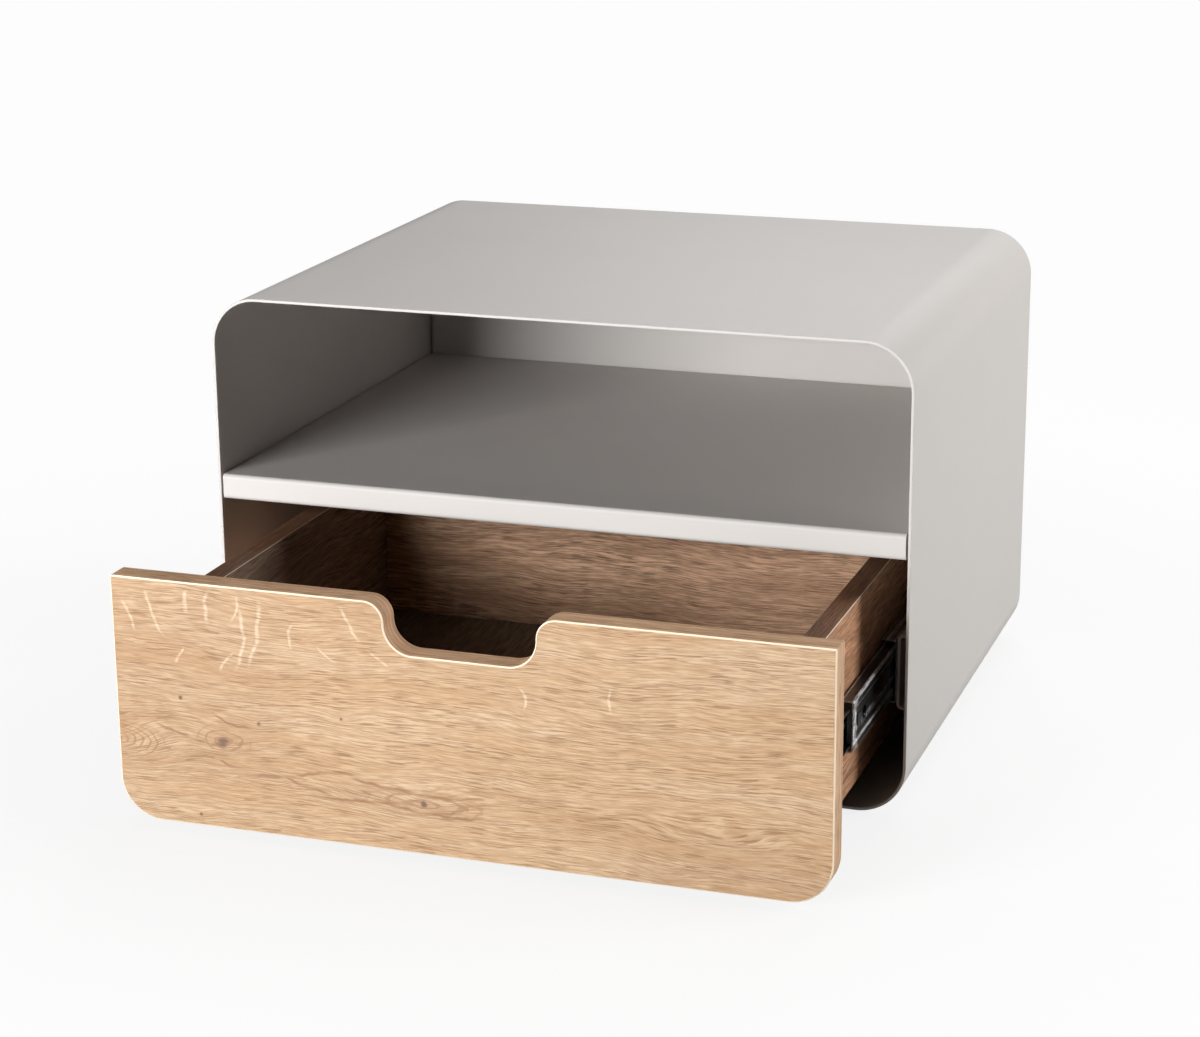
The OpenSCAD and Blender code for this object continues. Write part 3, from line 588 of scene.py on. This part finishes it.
def oak_front():
    """Light oak with its grain along the width, knots, a cathedral at the left end and ray flecks, with
    painted shade darkening the left end and the lower right. The knots bend the grain, and the lines with the
    darker patches and painted shade, flecks and cores are mixed over the oak in turn."""
    material, shader, w = new_material("oak_front")
    place = w.place()
    x, y, z = w.parts(place)[:3]
    across = w.math("ADD", z, w.group(SWAY, Place=w.pack(x, 0.0, z), Amount=26.0)["Sway"])
    cores = 0.0
    rings = 0.0
    for middle_x, middle_z, half_l, half_h, hump, core, lines in KNOTS:
        knot = w.group(KNOT, Place=place, Middle_X=middle_x, Middle_Z=middle_z, Half_length=half_l,
                       Half_height=half_h, Hump=hump, Core=core, Lines=lines)
        across = w.math("ADD", across, knot["Bend"])
        cores = w.math("MAXIMUM", knot["Core"], cores)
        if lines > 1.0:
            rings = w.math("MAXIMUM", knot["Rings"], rings)
    lengthways = w.pack(z, y, x)
    growth = w.math("MULTIPLY", strokes(w, lengthways, GROWTH_LINES, 0.06), 0.95)
    # darker patches of wood, and painted shade at the left end and the lower right of the front
    shade = w.math("MULTIPLY", strokes(w, lengthways, DARK_PATCHES_AND_PAINTED_SHADE, 0.05), 0.30)
    lines = w.math("MAXIMUM", w.math("MULTIPLY", rings, 0.70), w.math("MAXIMUM", growth, shade))
    oak = lay_oak(w, shader, w.pack(x, across, y), FRONT_TONES)
    colour = w.blend(lines, oak["Colour"], LINE_COLOUR)
    over_pores = w.span(oak["Pores"], 0.0, 1.0, 0.50, 0.22)
    flecks = w.math("MULTIPLY", strokes(w, place, FLECKS, 0.7), over_pores)
    colour = w.blend(flecks, colour, FLECK_COLOUR)
    colour = w.blend(w.math("MULTIPLY", cores, 0.88), colour, KNOT_COLOUR)
    w.join(colour, shader.inputs["Base Color"])
    return material


def oak_board(name, along, tones):
    """Oak facing whose grain runs along X, along Y on an upright board, or along Y on a flat one. The upright
    boards along Y carry painted shade: darker and more red on their outer faces, darker and greyer on the
    inner ones."""
    material, shader, w = new_material(name)
    place = w.place()
    x, y, z = w.parts(place)[:3]
    sway = w.group(SWAY, Place=place, Amount=30.0)["Sway"]
    if along == "X":
        grain = w.pack(x, w.math("ADD", z, sway), y)
    elif along == "Y":
        grain = w.pack(y, w.math("ADD", z, sway), x)
    else:
        grain = w.pack(y, w.math("ADD", x, sway), z)
    colour = lay_oak(w, shader, grain, tones)["Colour"]
    # painted shade: the outer faces of the drawer sides darker and redder, the inner faces darker and greyer
    if along == "Y":
        outer_x = side_high.x / MM
        outer = w.span(w.math("ABSOLUTE", x), outer_x - 1.0, outer_x - 0.3)
        colour = w.blend(1.0, colour, w.blend(outer, INNER_PAINTED_SHADE, OUTER_PAINTED_SHADE), "MULTIPLY")
    w.join(colour, shader.inputs["Base Color"])
    return material


def edge_banding(name, tones):
    """Oak-look banding: the grain follows the edge, and the routed bevels show its pale core."""
    material, shader, w = new_material(name)
    along = w.node("ShaderNodeUVMap", {"uv_map": "along"}).outputs["UV"]
    grain = w.stretch(along, (1000.0, 1000.0, 1000.0))
    colour = lay_oak(w, shader, grain, tones)["Colour"]
    stripes = w.group(STRIPES, Grain=grain, Pitch=STRIPE_PITCH)["Stripes"]
    colour = w.blend(stripes, colour, tones["Ring"])
    cut = w.node("ShaderNodeAttribute", {"attribute_name": "cut"}).outputs["Fac"]
    w.join(w.blend(cut, colour, CUT_COLOUR), shader.inputs["Base Color"])
    return material


def flange_wear_and_painted_reflection(w, place, flange):
    """Worn streaks, coloured as painted reflection of the oak, in long runs on the top of a flange, from a
    noise drawn out along Y.
    """
    x, y, z = w.parts(place)[:3]
    streaks = w.noise(w.pack(w.math("MULTIPLY", x, 1.1), w.math("MULTIPLY", y, 0.006), 0.0), 1.0, 0.5)
    return w.math("MULTIPLY", w.span(z, flange - 1.2, flange - 0.6), w.span(streaks, 0.42, 0.58))


def plated_steel(name, colour, scuffed, metallic, low, high, bare_and_painted_highlight=None, flange=None):
    """Plated steel strip with rolling marks and scuffs, and a roughness from low to high. Bare is the metal
    that shows where the plating is rubbed through, and it also serves as painted highlight on edges and as
    painted reflection of the oak along a flange: it shows where the piece's attribute of worn and highlighted
    places says, or in streaks above the height of a flange."""
    material, shader, w = new_material(name)
    place = w.place()
    rolled = w.group(ROLLED, Place=place)
    tone = w.blend(rolled["Scuffs"], colour, scuffed)
    shader.inputs["Metallic"].default_value = metallic
    if bare_and_painted_highlight:
        if flange:
            wear_and_painted_highlight = flange_wear_and_painted_reflection(w, place, flange)
        else:
            wear_and_painted_highlight = w.node("ShaderNodeAttribute", {"attribute_name": "wear_and_painted_highlight"}).outputs["Fac"]
        # rubbed-through places, which also carry painted highlight and painted reflection
        rubbed = w.group(RUBBED_AND_PAINTED_HIGHLIGHT, Place=place, Wear=wear_and_painted_highlight)["Rubbed"]
        tone = w.blend(rubbed, tone, bare_and_painted_highlight)
        w.join(w.span(rubbed, 0.0, 1.0, metallic, 0.45), shader.inputs["Metallic"])
    w.join(tone, shader.inputs["Base Color"])
    w.join(w.span(rolled["Marks"], 0.3, 0.7, low, high), shader.inputs["Roughness"])
    add_bump(w, shader, rolled["Marks"], 0.15, 0.05 * MM)
    return material


def moulded(name, colour, shade, grain, low, high):
    """Moulded plastic, rubber or a casting, with a fine grain and a roughness from low to high."""
    material, shader, w = new_material(name)
    grit = w.group(GRIT, Place=w.place(), Grain=grain)
    w.join(w.blend(w.span(grit["Tone"], 0.3, 0.7), colour, shade), shader.inputs["Base Color"])
    w.join(w.span(grit["Height"], 0.2, 0.8, low, high), shader.inputs["Roughness"])
    add_bump(w, shader, grit["Height"], 0.2, 0.08 * MM)
    return material


def opaque(red, green, blue):
    """A colour as a node socket takes it, with nothing showing through."""
    return red, green, blue, 1.0


FLANGE_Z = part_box("cabinet_member_right")[1].z / MM

POWDER = powder_coat()
OAK_FRONT = oak_front()
OAK_BACK = oak_board("oak_board_across", "X", BOX_TONES_PAINTED_LIGHT)
OAK_SIDE = oak_board("oak_board_deep", "Y", BOX_TONES_PAINTED_LIGHT)
OAK_FLOOR = oak_board("oak_board_floor", "flat", FLOOR_TONES_PAINTED_SHADE)
BANDING = edge_banding("edge_banding", FRONT_BAND_TONES)
BOX_BANDING = edge_banding("box_banding", BOX_BAND_TONES)
# black zinc of the middle and drawer members: its pale colour for rubbed-through metal shows worn plating and
# serves as painted highlight on edges
BLACK_ZINC = plated_steel("black_zinc", opaque(0.10, 0.10, 0.105), opaque(0.17, 0.165, 0.16),
                          1.0, 0.24, 0.40, bare_and_painted_highlight=opaque(0.90, 0.89, 0.88))
# the cabinet members: darker than the other black zinc as painted shade, and their flange streaks pale and
# reddish as painted reflection of the oak
WORN_ZINC_PAINTED_SHADE_AND_REFLECTION = plated_steel("worn_black_zinc_painted_shade_and_reflection", opaque(0.060, 0.060, 0.062), opaque(0.10, 0.098, 0.095),
                         1.0, 0.28, 0.44, bare_and_painted_highlight=opaque(0.62, 0.50, 0.44), flange=FLANGE_Z)
ZINC = plated_steel("zinc_plate", opaque(0.66, 0.66, 0.67), opaque(0.50, 0.50, 0.50), 0.5, 0.22, 0.38)
STEEL = plated_steel("bright_steel", opaque(0.72, 0.72, 0.74), opaque(0.60, 0.60, 0.62), 1.0, 0.12, 0.22)
RUBBER = moulded("rubber", opaque(0.030, 0.030, 0.030), opaque(0.045, 0.044, 0.043), 0.8, 0.65, 0.80)
PLASTIC = moulded("black_plastic", opaque(0.022, 0.022, 0.023), opaque(0.032, 0.032, 0.033), 0.4, 0.38, 0.52)
CASTING = moulded("die_cast", opaque(0.42, 0.42, 0.43), opaque(0.34, 0.34, 0.35), 1.2, 0.40, 0.55)
BEECH = oak_board("beech", "X", FRONT_TONES)


def dress(material, *nodes):
    """Gives CAD nodes their material."""
    for name in nodes:
        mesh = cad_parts[name].data
        mesh.materials.clear()
        mesh.materials.append(material)


def both(name):
    """The names of the left and the right piece of a pair."""
    return name + "_left", name + "_right"


dress(POWDER, "shell", "back_panel", "shelf", *both("slide_channel"))
dress(BLACK_ZINC, *both("middle_member"), *both("drawer_member"))
dress(WORN_ZINC_PAINTED_SHADE_AND_REFLECTION, *both("cabinet_member"))
dress(ZINC, *both("outer_ball_cage"), *both("inner_ball_cage"), *both("release_lever"))
dress(STEEL, *both("outer_balls"), *both("inner_balls"), "cabinet_slide_screws", "cabinet_slide_nuts",
      "drawer_slide_screws", "lever_pins", "cam_bolts", "back_screws")
dress(RUBBER, "closing_stops")
dress(PLASTIC, *both("middle_bumper"))
dress(OAK_FRONT, "drawer_front")
dress(OAK_SIDE, *both("drawer_side"))
dress(OAK_BACK, "drawer_back")
dress(OAK_FLOOR, "drawer_bottom")
dress(BANDING, "front_edge_band")
dress(BOX_BANDING, "box_edge_bands")
dress(CASTING, "cam_discs")
dress(BEECH, "dowels")


# ---------------------------------------------------------------- meshes

def grid_faces(rows, columns, close_rows=False, close_columns=False):
    """Quads of a grid of points numbered row by row, as one array."""
    row = np.arange(rows if close_rows else rows - 1)
    column = np.arange(columns if close_columns else columns - 1)
    r, c = [a.ravel() for a in np.meshgrid(row, column, indexing="ij")]
    r1, c1 = (r + 1) % rows, (c + 1) % columns
    return np.stack([r * columns + c, r * columns + c1, r1 * columns + c1, r1 * columns + c], 1)


def volume(points, blocks):
    """Signed volume of a closed mesh: the sum over its faces of a . (b x c) / 6, where a, b and c
    are the corners of each triangle of a face cut into a fan."""
    total = 0.0
    for faces in blocks:
        for k in range(1, faces.shape[1] - 1):
            a, b, c = points[faces[:, 0]], points[faces[:, k]], points[faces[:, k + 1]]
            total += float((a * np.cross(b, c)).sum()) / 6.0
    return total


def add_piece(name, points, blocks, material, body, replaces=(), sharp=35.0):
    """Makes a closed mesh whose faces point outwards, gives it its material and rides it on its body.
    Blocks are arrays of faces, each with its own number of corners."""
    points = np.asarray(points, float).reshape(-1, 3)
    if volume(points, blocks) < 0.0:
        blocks = [faces[:, ::-1] for faces in blocks]
    mesh = bpy.data.meshes.new(name)
    mesh.from_pydata(points.tolist(), [], sum([faces.tolist() for faces in blocks], []))
    mesh.validate()
    mesh.shade_smooth()
    mesh.set_sharp_from_angle(angle=math.radians(sharp))
    mesh.materials.append(material)
    piece = bpy.data.objects.new(name, mesh)
    bpy.context.scene.collection.objects.link(piece)
    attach(piece, body)
    if replaces:
        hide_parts(*replaces)
    return piece


def loop_points(mesh):
    """The point number of each face corner of a mesh."""
    numbers = np.zeros(len(mesh.loops), np.int32)
    mesh.loops.foreach_get("vertex_index", numbers)
    return numbers


def lay_along(mesh, u, v):
    """A UV map in metres: U is the way along an edge strip, V is the way across it."""
    layer = mesh.uv_layers.new(name="along")
    layer.data.foreach_set("uv", np.stack([u, v], 1).astype(np.float32).ravel())


def lay_mask(mesh, name, domain, values):
    """An attribute from 0 to 1 on the faces or the points of a mesh."""
    mask = mesh.attributes.new(name, "FLOAT", domain)
    mask.data.foreach_set("value", np.asarray(values, np.float32))


def arc(middle, radius, start, stop, steps=ARC_STEPS):
    """Points from one angle to another, in degrees: middle + radius * (cos, sin) of the angle."""
    angle = np.radians(np.linspace(start, stop, steps + 1))
    return np.stack([middle[0] + radius * np.cos(angle), middle[1] + radius * np.sin(angle)], 1)


# ---- shell

def rounded_loop(low, high, radius, steps=24):
    """Points and outward normals of a rectangle with round corners, anticlockwise in X and Z."""
    corners = (((high[0] - radius, high[1] - radius), 0.0), ((low[0] + radius, high[1] - radius), 90.0),
               ((low[0] + radius, low[1] + radius), 180.0), ((high[0] - radius, low[1] + radius), 270.0))
    points = np.concatenate([arc(m, radius, a, a + 90.0, steps) for m, a in corners])
    normals = np.concatenate([arc((0.0, 0.0), 1.0, a, a + 90.0, steps) for _, a in corners])
    return points, normals


def make_shell():
    """The shell: a flat strip with rounded edges, carried round a rectangle with round corners.
    Point = loop point + normal * offset in X and Z, and the strip's own depth in Y."""
    loop, normal = rounded_loop((shell_low.x, shell_low.z), (shell_high.x, shell_high.z), SHELL_R)
    r = SHEET_EDGE_R
    front, rear, inner = shell_low.y + r, shell_high.y - r, r - SHEET_T
    strip = np.concatenate([arc((-r, front), r, 0.0, -90.0, 5), arc((inner, front), r, 270.0, 180.0, 5),
                            arc((inner, rear), r, 180.0, 90.0, 5), arc((-r, rear), r, 90.0, 0.0, 5)])
    points = np.zeros((len(loop), len(strip), 3))
    points[:, :, 0] = loop[:, None, 0] + normal[:, None, 0] * strip[None, :, 0]
    points[:, :, 1] = strip[None, :, 1]
    points[:, :, 2] = loop[:, None, 1] + normal[:, None, 1] * strip[None, :, 0]
    faces = grid_faces(len(loop), len(strip), True, True)
    add_piece("shell_sheet", points, [faces], POWDER, "carcass", ["shell"], sharp=50.0)


# ---- drawer front

def front_loop(inset, bevel=0.7 * MM):
    """The outline of the drawer front, anticlockwise from the right foot, as arcs whose radius is
    inset less on an outer corner and inset more in the notch. A bevel takes off the top corners."""
    left, right = front_low.x + inset, front_high.x - inset
    bottom, top = front_low.z + inset, front_high.z - inset
    foot = FRONT_CORNER_R - inset
    centre_x = front_high.x - FRONT_CORNER_R
    centre_z = front_low.z + FRONT_CORNER_R
    shoulder_x = NOTCH_HALF_W + NOTCH_SHOULDER_R
    shoulder_z = front_high.z - NOTCH_SHOULDER_R
    hollow_x = NOTCH_HALF_W - NOTCH_FOOT_R
    hollow_z = front_high.z - NOTCH_DEPTH + NOTCH_FOOT_R
    shoulder = NOTCH_SHOULDER_R - inset
    hollow = NOTCH_FOOT_R + inset
    runs = [
        arc((centre_x, centre_z), foot, -90.0, 0.0, 20),
        np.array([(right, top - bevel), (right - bevel, top)]),
        arc((shoulder_x, shoulder_z), shoulder, 90.0, 180.0),
        arc((hollow_x, hollow_z), hollow, 0.0, -90.0),
        arc((-hollow_x, hollow_z), hollow, -90.0, -180.0),
        arc((-shoulder_x, shoulder_z), shoulder, 0.0, 90.0),
        np.array([(left + bevel, top), (left, top - bevel)]),
        arc((-centre_x, centre_z), foot, 180.0, 270.0, 20),
    ]
    return np.concatenate(runs)


def face_columns(inset, steps=16):
    """Columns of the front's face: their X, and the lowest and highest Z at each. Every arc gives
    Z = middle +- sqrt(radius ^ 2 - run ^ 2), where run is the way along X from its middle."""
    foot_x, foot = front_high.x - FRONT_CORNER_R, FRONT_CORNER_R - inset
    shoulder_x, shoulder = NOTCH_HALF_W + NOTCH_SHOULDER_R, NOTCH_SHOULDER_R - inset
    hollow_x, hollow = NOTCH_HALF_W - NOTCH_FOOT_R, NOTCH_FOOT_R + inset
    turn = np.radians(np.linspace(0.0, 90.0, steps))
    at_foot = -foot_x + foot * np.cos(np.radians(np.linspace(180.0, 270.0, steps)))
    at_shoulder = -shoulder_x + shoulder * np.sin(turn)
    at_hollow = -hollow_x - hollow * np.cos(turn)
    plain_part = np.linspace(at_foot[-1], at_shoulder[0], 10)[1:-1]
    half = np.concatenate([at_foot, plain_part, at_shoulder, at_hollow])
    x = np.concatenate([half, [0.0], -half[::-1]])
    away = np.abs(x)
    run = np.clip(away - foot_x, 0.0, foot)
    low = front_low.z + FRONT_CORNER_R - np.sqrt(foot ** 2 - run ** 2)
    run = np.clip(shoulder_x - away, 0.0, shoulder)
    top_out = front_high.z - NOTCH_SHOULDER_R + np.sqrt(shoulder ** 2 - run ** 2)
    run = np.clip(away - hollow_x, 0.0, hollow)
    top_in = front_high.z - NOTCH_DEPTH + NOTCH_FOOT_R - np.sqrt(hollow ** 2 - run ** 2)
    in_notch = np.zeros(len(x), bool)
    in_notch[len(half) - steps:len(x) - len(half) + steps] = True
    return x, low, np.where(in_notch, top_in, top_out)


def make_drawer_front():
    """The faced board: columns between the lower and the upper outline, front and back, joined round.
    Z = low + (high - low) * share, with the share going evenly from 0 to 1 up each column."""
    rows = 8
    tuck = 0.03 * MM          # how far the board runs under its banding
    x, low, high = face_columns(ARRIS - tuck)
    z = low[:, None] + (high - low)[:, None] * np.linspace(0.0, 1.0, rows)[None, :]
    points = np.zeros((2, len(x), rows, 3))
    points[:, :, :, 0] = x[None, :, None]
    points[:, :, :, 1] = np.array([front_low.y + tuck, front_high.y - tuck])[:, None, None]
    points[:, :, :, 2] = z[None, :, :]
    n = len(x) * rows
    quads = grid_faces(len(x), rows)
    number = np.arange(n).reshape(len(x), rows)
    rim = np.concatenate([number[:, 0], number[-1, 1:], number[::-1, -1][1:], number[0, ::-1][1:-1]])
    ring = np.roll(rim, -1)
    walls = np.stack([rim, rim + n, ring + n, ring], 1)
    add_piece("drawer_front_board", points, [quads, quads[:, ::-1] + n, walls], OAK_FRONT, "drawer",
              ["drawer_front"])


def make_front_band():
    """The banding: a bevelled strip carried round the outline of the front. Point = the outline
    pulled in by the section's inset in X and Z, and the section's depth in Y."""
    depth = front_high.y - front_low.y
    inset = np.array([ARRIS, 0.0, 0.0, ARRIS, BAND_T, BAND_T])
    back = np.array([0.0, ARRIS, depth - ARRIS, depth, depth, 0.0])
    outlines = np.stack([front_loop(d) for d in inset], 1)
    rows, columns = outlines.shape[:2]
    points = np.zeros((rows, columns, 3))
    points[:, :, 0] = outlines[:, :, 0]
    points[:, :, 1] = front_low.y + back[None, :]
    points[:, :, 2] = outlines[:, :, 1]
    faces = grid_faces(rows, columns, True, True)
    mesh = add_piece("front_edge_banding", points, [faces], BANDING, "drawer",
                     ["front_edge_band"], sharp=30.0).data
    outer = outlines[:, 1]
    step = np.linalg.norm(np.roll(outer, -1, 0) - outer, axis=1)
    run = np.concatenate([[0.0], np.cumsum(step)])
    row, column = np.divmod(loop_points(mesh), columns)
    face_row, face_column = np.divmod(np.repeat(np.arange(len(faces)), 4), columns)
    u = run[np.where((row == 0) & (face_row == rows - 1), rows, row)]
    v = np.append(back, 0.0)[np.where((column == 0) & (face_column == columns - 1), columns, column)]
    lay_along(mesh, u, v)
    lay_mask(mesh, "cut", "FACE", np.arange(len(faces)) % columns == 0)


# ---- edge strips of the drawer box

def make_box_bands():
    """Strips on the top edges: a flat section with two rounded arrises, carried along each board.
    Point = end of the board + section across * side in X and Y, and the section's height in Z."""
    r = 0.55 * MM
    arris = 4                 # faces in a rounded arris
    thick = band_high.z - band_low.z
    half_w = (side_high.x - side_low.x) / 2
    half = np.concatenate([[(half_w, 0.0)], arc((half_w - r, thick - r), r, 0.0, 90.0, arris)])
    section = np.concatenate([half, half[::-1] * np.array([-1.0, 1.0])])
    n = len(section)
    side_x = (side_low.x + side_high.x) / 2
    back_x = side_low.x - 0.05 * MM
    back_y = (back_low.y + back_high.y) / 2
    runs = {
        "left": ((-side_x, band_low.y), (-side_x, band_high.y)),
        "right": ((side_x, band_low.y), (side_x, band_high.y)),
        "back": ((-back_x, back_y), (back_x, back_y)),
    }
    for name, ends in runs.items():
        ends = np.array(ends)
        way = (ends[1] - ends[0]) / np.linalg.norm(ends[1] - ends[0])
        side = np.array([way[1], -way[0]])
        points = np.zeros((2, n, 3))
        points[:, :, :2] = ends[:, None, :] + section[None, :, :1] * side
        points[:, :, 2] = band_low.z + section[None, :, 1]
        caps = np.stack([np.arange(n)[::-1], np.arange(n) + n])
        mesh = add_piece("box_banding_" + name, points, [grid_faces(2, n, False, True), caps],
                         BOX_BANDING, "drawer", ["box_edge_bands"], sharp=50.0).data
        cut = np.zeros(n + 2)
        cut[np.r_[1:1 + arris, n // 2 + 1:n // 2 + 1 + arris]] = 0.75
        lay_mask(mesh, "cut", "FACE", cut)
        flat = points.reshape(-1, 3)[loop_points(mesh), :2]
        lay_along(mesh, flat @ way, flat @ side)


# ---- middle members of the slides

def sheet_faces(kept, rows, columns):
    """Faces of a sheet with a front and a back grid of points, numbered row by row, the back after
    the front. Kept says which cells there are. A wall closes each edge between a kept cell and none."""
    number = np.arange(rows * columns).reshape(rows, columns)
    back = rows * columns
    a, b = number[:-1, :-1][kept], number[:-1, 1:][kept]
    d, c = number[1:, :-1][kept], number[1:, 1:][kept]
    faces = [np.stack([a, b, c, d], 1), np.stack([d, c, b, a], 1) + back]
    wide = np.zeros((rows + 1, columns + 1), bool)
    wide[1:-1, 1:-1] = kept
    for axis, step in ((0, (0, 1)), (1, (1, 0))):
        before = wide[:-1, 1:-1] if axis == 0 else wide[1:-1, :-1]
        after = wide[1:, 1:-1] if axis == 0 else wide[1:-1, 1:]
        for here, turned in ((after & ~before, axis == 0), (before & ~after, axis == 1)):
            r, c0 = np.nonzero(here)
            one = number[r, c0]
            two = number[r + step[0], c0 + step[1]]
            wall = np.stack([one, one + back, two + back, two], 1)
            faces.append(wall if turned else wall[:, ::-1])
    return np.concatenate(faces)


def ease(value):
    """Goes smoothly from 0 to 1, as v * v * (3 - 2 v)."""
    value = np.clip(value, 0.0, 1.0)
    return value * value * (3.0 - 2.0 * value)


def bump_at(value, width):
    """A hump of height 1 where value is 0: exp(-(value / width) ^ 2)."""
    return np.exp(-(value / width) ** 2)


WINDOW_HALF = 5.0 * MM        # window of the bumper's clip: half its height, and where it lies
WINDOW_START, WINDOW_STOP = 12.0 * MM, 20.0 * MM


def member_path(bend_u, bend_z, r):
    """The C section's middle line from flange to flange, as U from the flange tips and Z."""
    flange = np.stack([np.linspace(0.0, bend_u, 6), np.full(6, bend_z + r)], 1)
    bend = arc((bend_u, bend_z), r, 90.0, 0.0, 6)[1:]
    down = np.concatenate([np.linspace(bend_z, WINDOW_HALF, 15)[1:], np.linspace(WINDOW_HALF, 0.0, 7)[1:]])
    web = np.stack([np.full(len(down), bend_u + r), down], 1)
    half = np.concatenate([flange, bend, web])
    return np.concatenate([half, half[-2::-1] * np.array([1.0, -1.0])])


def member_press(y, z, on_web):
    """How deep the web is pressed in between its two ledges, and the raised hook at its front.
    Depth = press * inside * runs in - rib * inside + front * inside * (1 - runs in) - hook."""
    press, ledge = 0.9 * MM, 12.2 * MM
    inside = ease((ledge - np.abs(z)) / (1.2 * MM))
    runs_in = ease(y / (9.0 * MM))
    rib = bump_at(z + 4.0 * MM, 1.3 * MM) * ease((y - 8.0 * MM) / (4.0 * MM))
    tongue = 4.5 * MM + 3.0 * MM * np.sin(z / (4.5 * MM))
    hook = bump_at(y - tongue, 1.4 * MM) * ease((10.0 * MM - np.abs(z)) / (2.0 * MM))
    depth = press * inside * runs_in - 0.7 * MM * rib * inside + 0.5 * MM * inside * (1.0 - runs_in)
    return np.clip(depth - 0.5 * MM * hook, 0.0, press) * on_web, hook * on_web


def make_middle_member(side, sign):
    """The middle member: a C section carried along Y, with a pressed web, a window for the bumper's
    clip and two round holes, whose points lie on hole radius * (point - middle) / distance."""
    name = "middle_member_" + side
    low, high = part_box(name)
    length = high.y - low.y
    r = 2.0 * MM - STRIP_T / 2
    bend_u = high.x - low.x - STRIP_T / 2 - r
    bend_z = (high.z - low.z - STRIP_T) / 2 - r
    path = member_path(bend_u, bend_z, r)
    u, z = path[:, 0], path[:, 1]
    tangent = np.stack([np.gradient(u), np.gradient(z)], 1)
    tangent /= np.linalg.norm(tangent, axis=1)[:, None]
    normal = np.stack([-tangent[:, 1], tangent[:, 0]], 1)
    normal *= np.sign(normal[len(path) // 2, 0])
    fine_part = 60.0 * MM
    y = np.concatenate([np.linspace(0.0, WINDOW_START, 13), np.linspace(WINDOW_START, WINDOW_STOP, 9)[1:],
                        np.linspace(WINDOW_STOP, fine_part, 31)[1:], np.linspace(fine_part, length, 119)[1:]])
    rows, columns = len(y), len(path)
    grid_y, grid_z = np.meshgrid(y, z, indexing="ij")
    on_web = (u > bend_u + r / 2)[None, :]
    depth, hook = member_press(grid_y, grid_z, on_web)

    moved_y, moved_z = grid_y, grid_z
    holes = np.zeros((rows, columns), bool)
    hole_r = 4.7 * MM
    for hole_y in (32.0 * MM, length - 26.0 * MM):
        away = np.hypot(grid_y - hole_y, grid_z)
        within = (away < hole_r) & on_web
        scale = np.where(within, hole_r / np.maximum(away, 1e-9), 1.0)
        moved_y = np.where(within, hole_y + (grid_y - hole_y) * scale, moved_y)
        moved_z = np.where(within, grid_z * scale, moved_z)
        holes |= within
    points = np.zeros((2, rows, columns, 3))
    outer_x = low.x if sign > 0 else -high.x
    for layer, shift in enumerate((STRIP_T / 2, -STRIP_T / 2)):
        points[layer, :, :, 0] = sign * (outer_x + u - depth + normal[:, 0] * shift)
        points[layer, :, :, 1] = low.y + moved_y
        points[layer, :, :, 2] = (low.z + high.z) / 2 + moved_z + normal[:, 1] * shift
    in_hole = holes[:-1, :-1] & holes[1:, :-1] & holes[:-1, 1:] & holes[1:, 1:]
    cell_y, cell_z = (y[:-1] + y[1:]) / 2, (z[:-1] + z[1:]) / 2
    window_y = (cell_y > WINDOW_START) & (cell_y < WINDOW_STOP)
    window_z = (np.abs(cell_z) < WINDOW_HALF) & (u[:-1] > bend_u)
    faces = sheet_faces(~(in_hole | (window_y[:, None] & window_z[None, :])), rows, columns)
    mesh = add_piece(name + "_strip", points, [faces], BLACK_ZINC, "middle_slide_" + side,
                     [name], sharp=40.0).data

    # the plating wears off on slopes, bends, the hook, the front end, the flange tips and the cut end, and
    # the pale metal there also serves as painted highlight along the edges and over the front of the web
    slope = np.abs(np.gradient(depth, axis=1)) / (0.5 * MM)
    off_arc = np.abs(np.hypot(u - bend_u, np.abs(z) - bend_z) - r)
    bends = np.clip(1.0 - off_arc / (0.3 * MM), 0.0, 1.0) * (u > bend_u + r / 4) * (np.abs(z) > bend_z)
    handled_and_painted_highlight = ease((13.0 * MM - grid_y) / (5.0 * MM)) * on_web
    wear_and_painted_highlight = np.clip(0.9 * slope + 0.8 * bends + 0.9 * hook + 0.6 * handled_and_painted_highlight, 0.0, 1.0)
    wear_and_painted_highlight[0, :] = np.maximum(wear_and_painted_highlight[0, :], 0.6)
    wear_and_painted_highlight[1:, [0, -1]] = np.maximum(wear_and_painted_highlight[1:, [0, -1]], 0.8)
    lay_mask(mesh, "wear_and_painted_highlight", "POINT", np.tile(wear_and_painted_highlight.ravel(), 2))


make_camera()
make_studio()
make_shell()
make_drawer_front()
make_front_band()
make_box_bands()
make_middle_member("left", -1)
make_middle_member("right", 1)
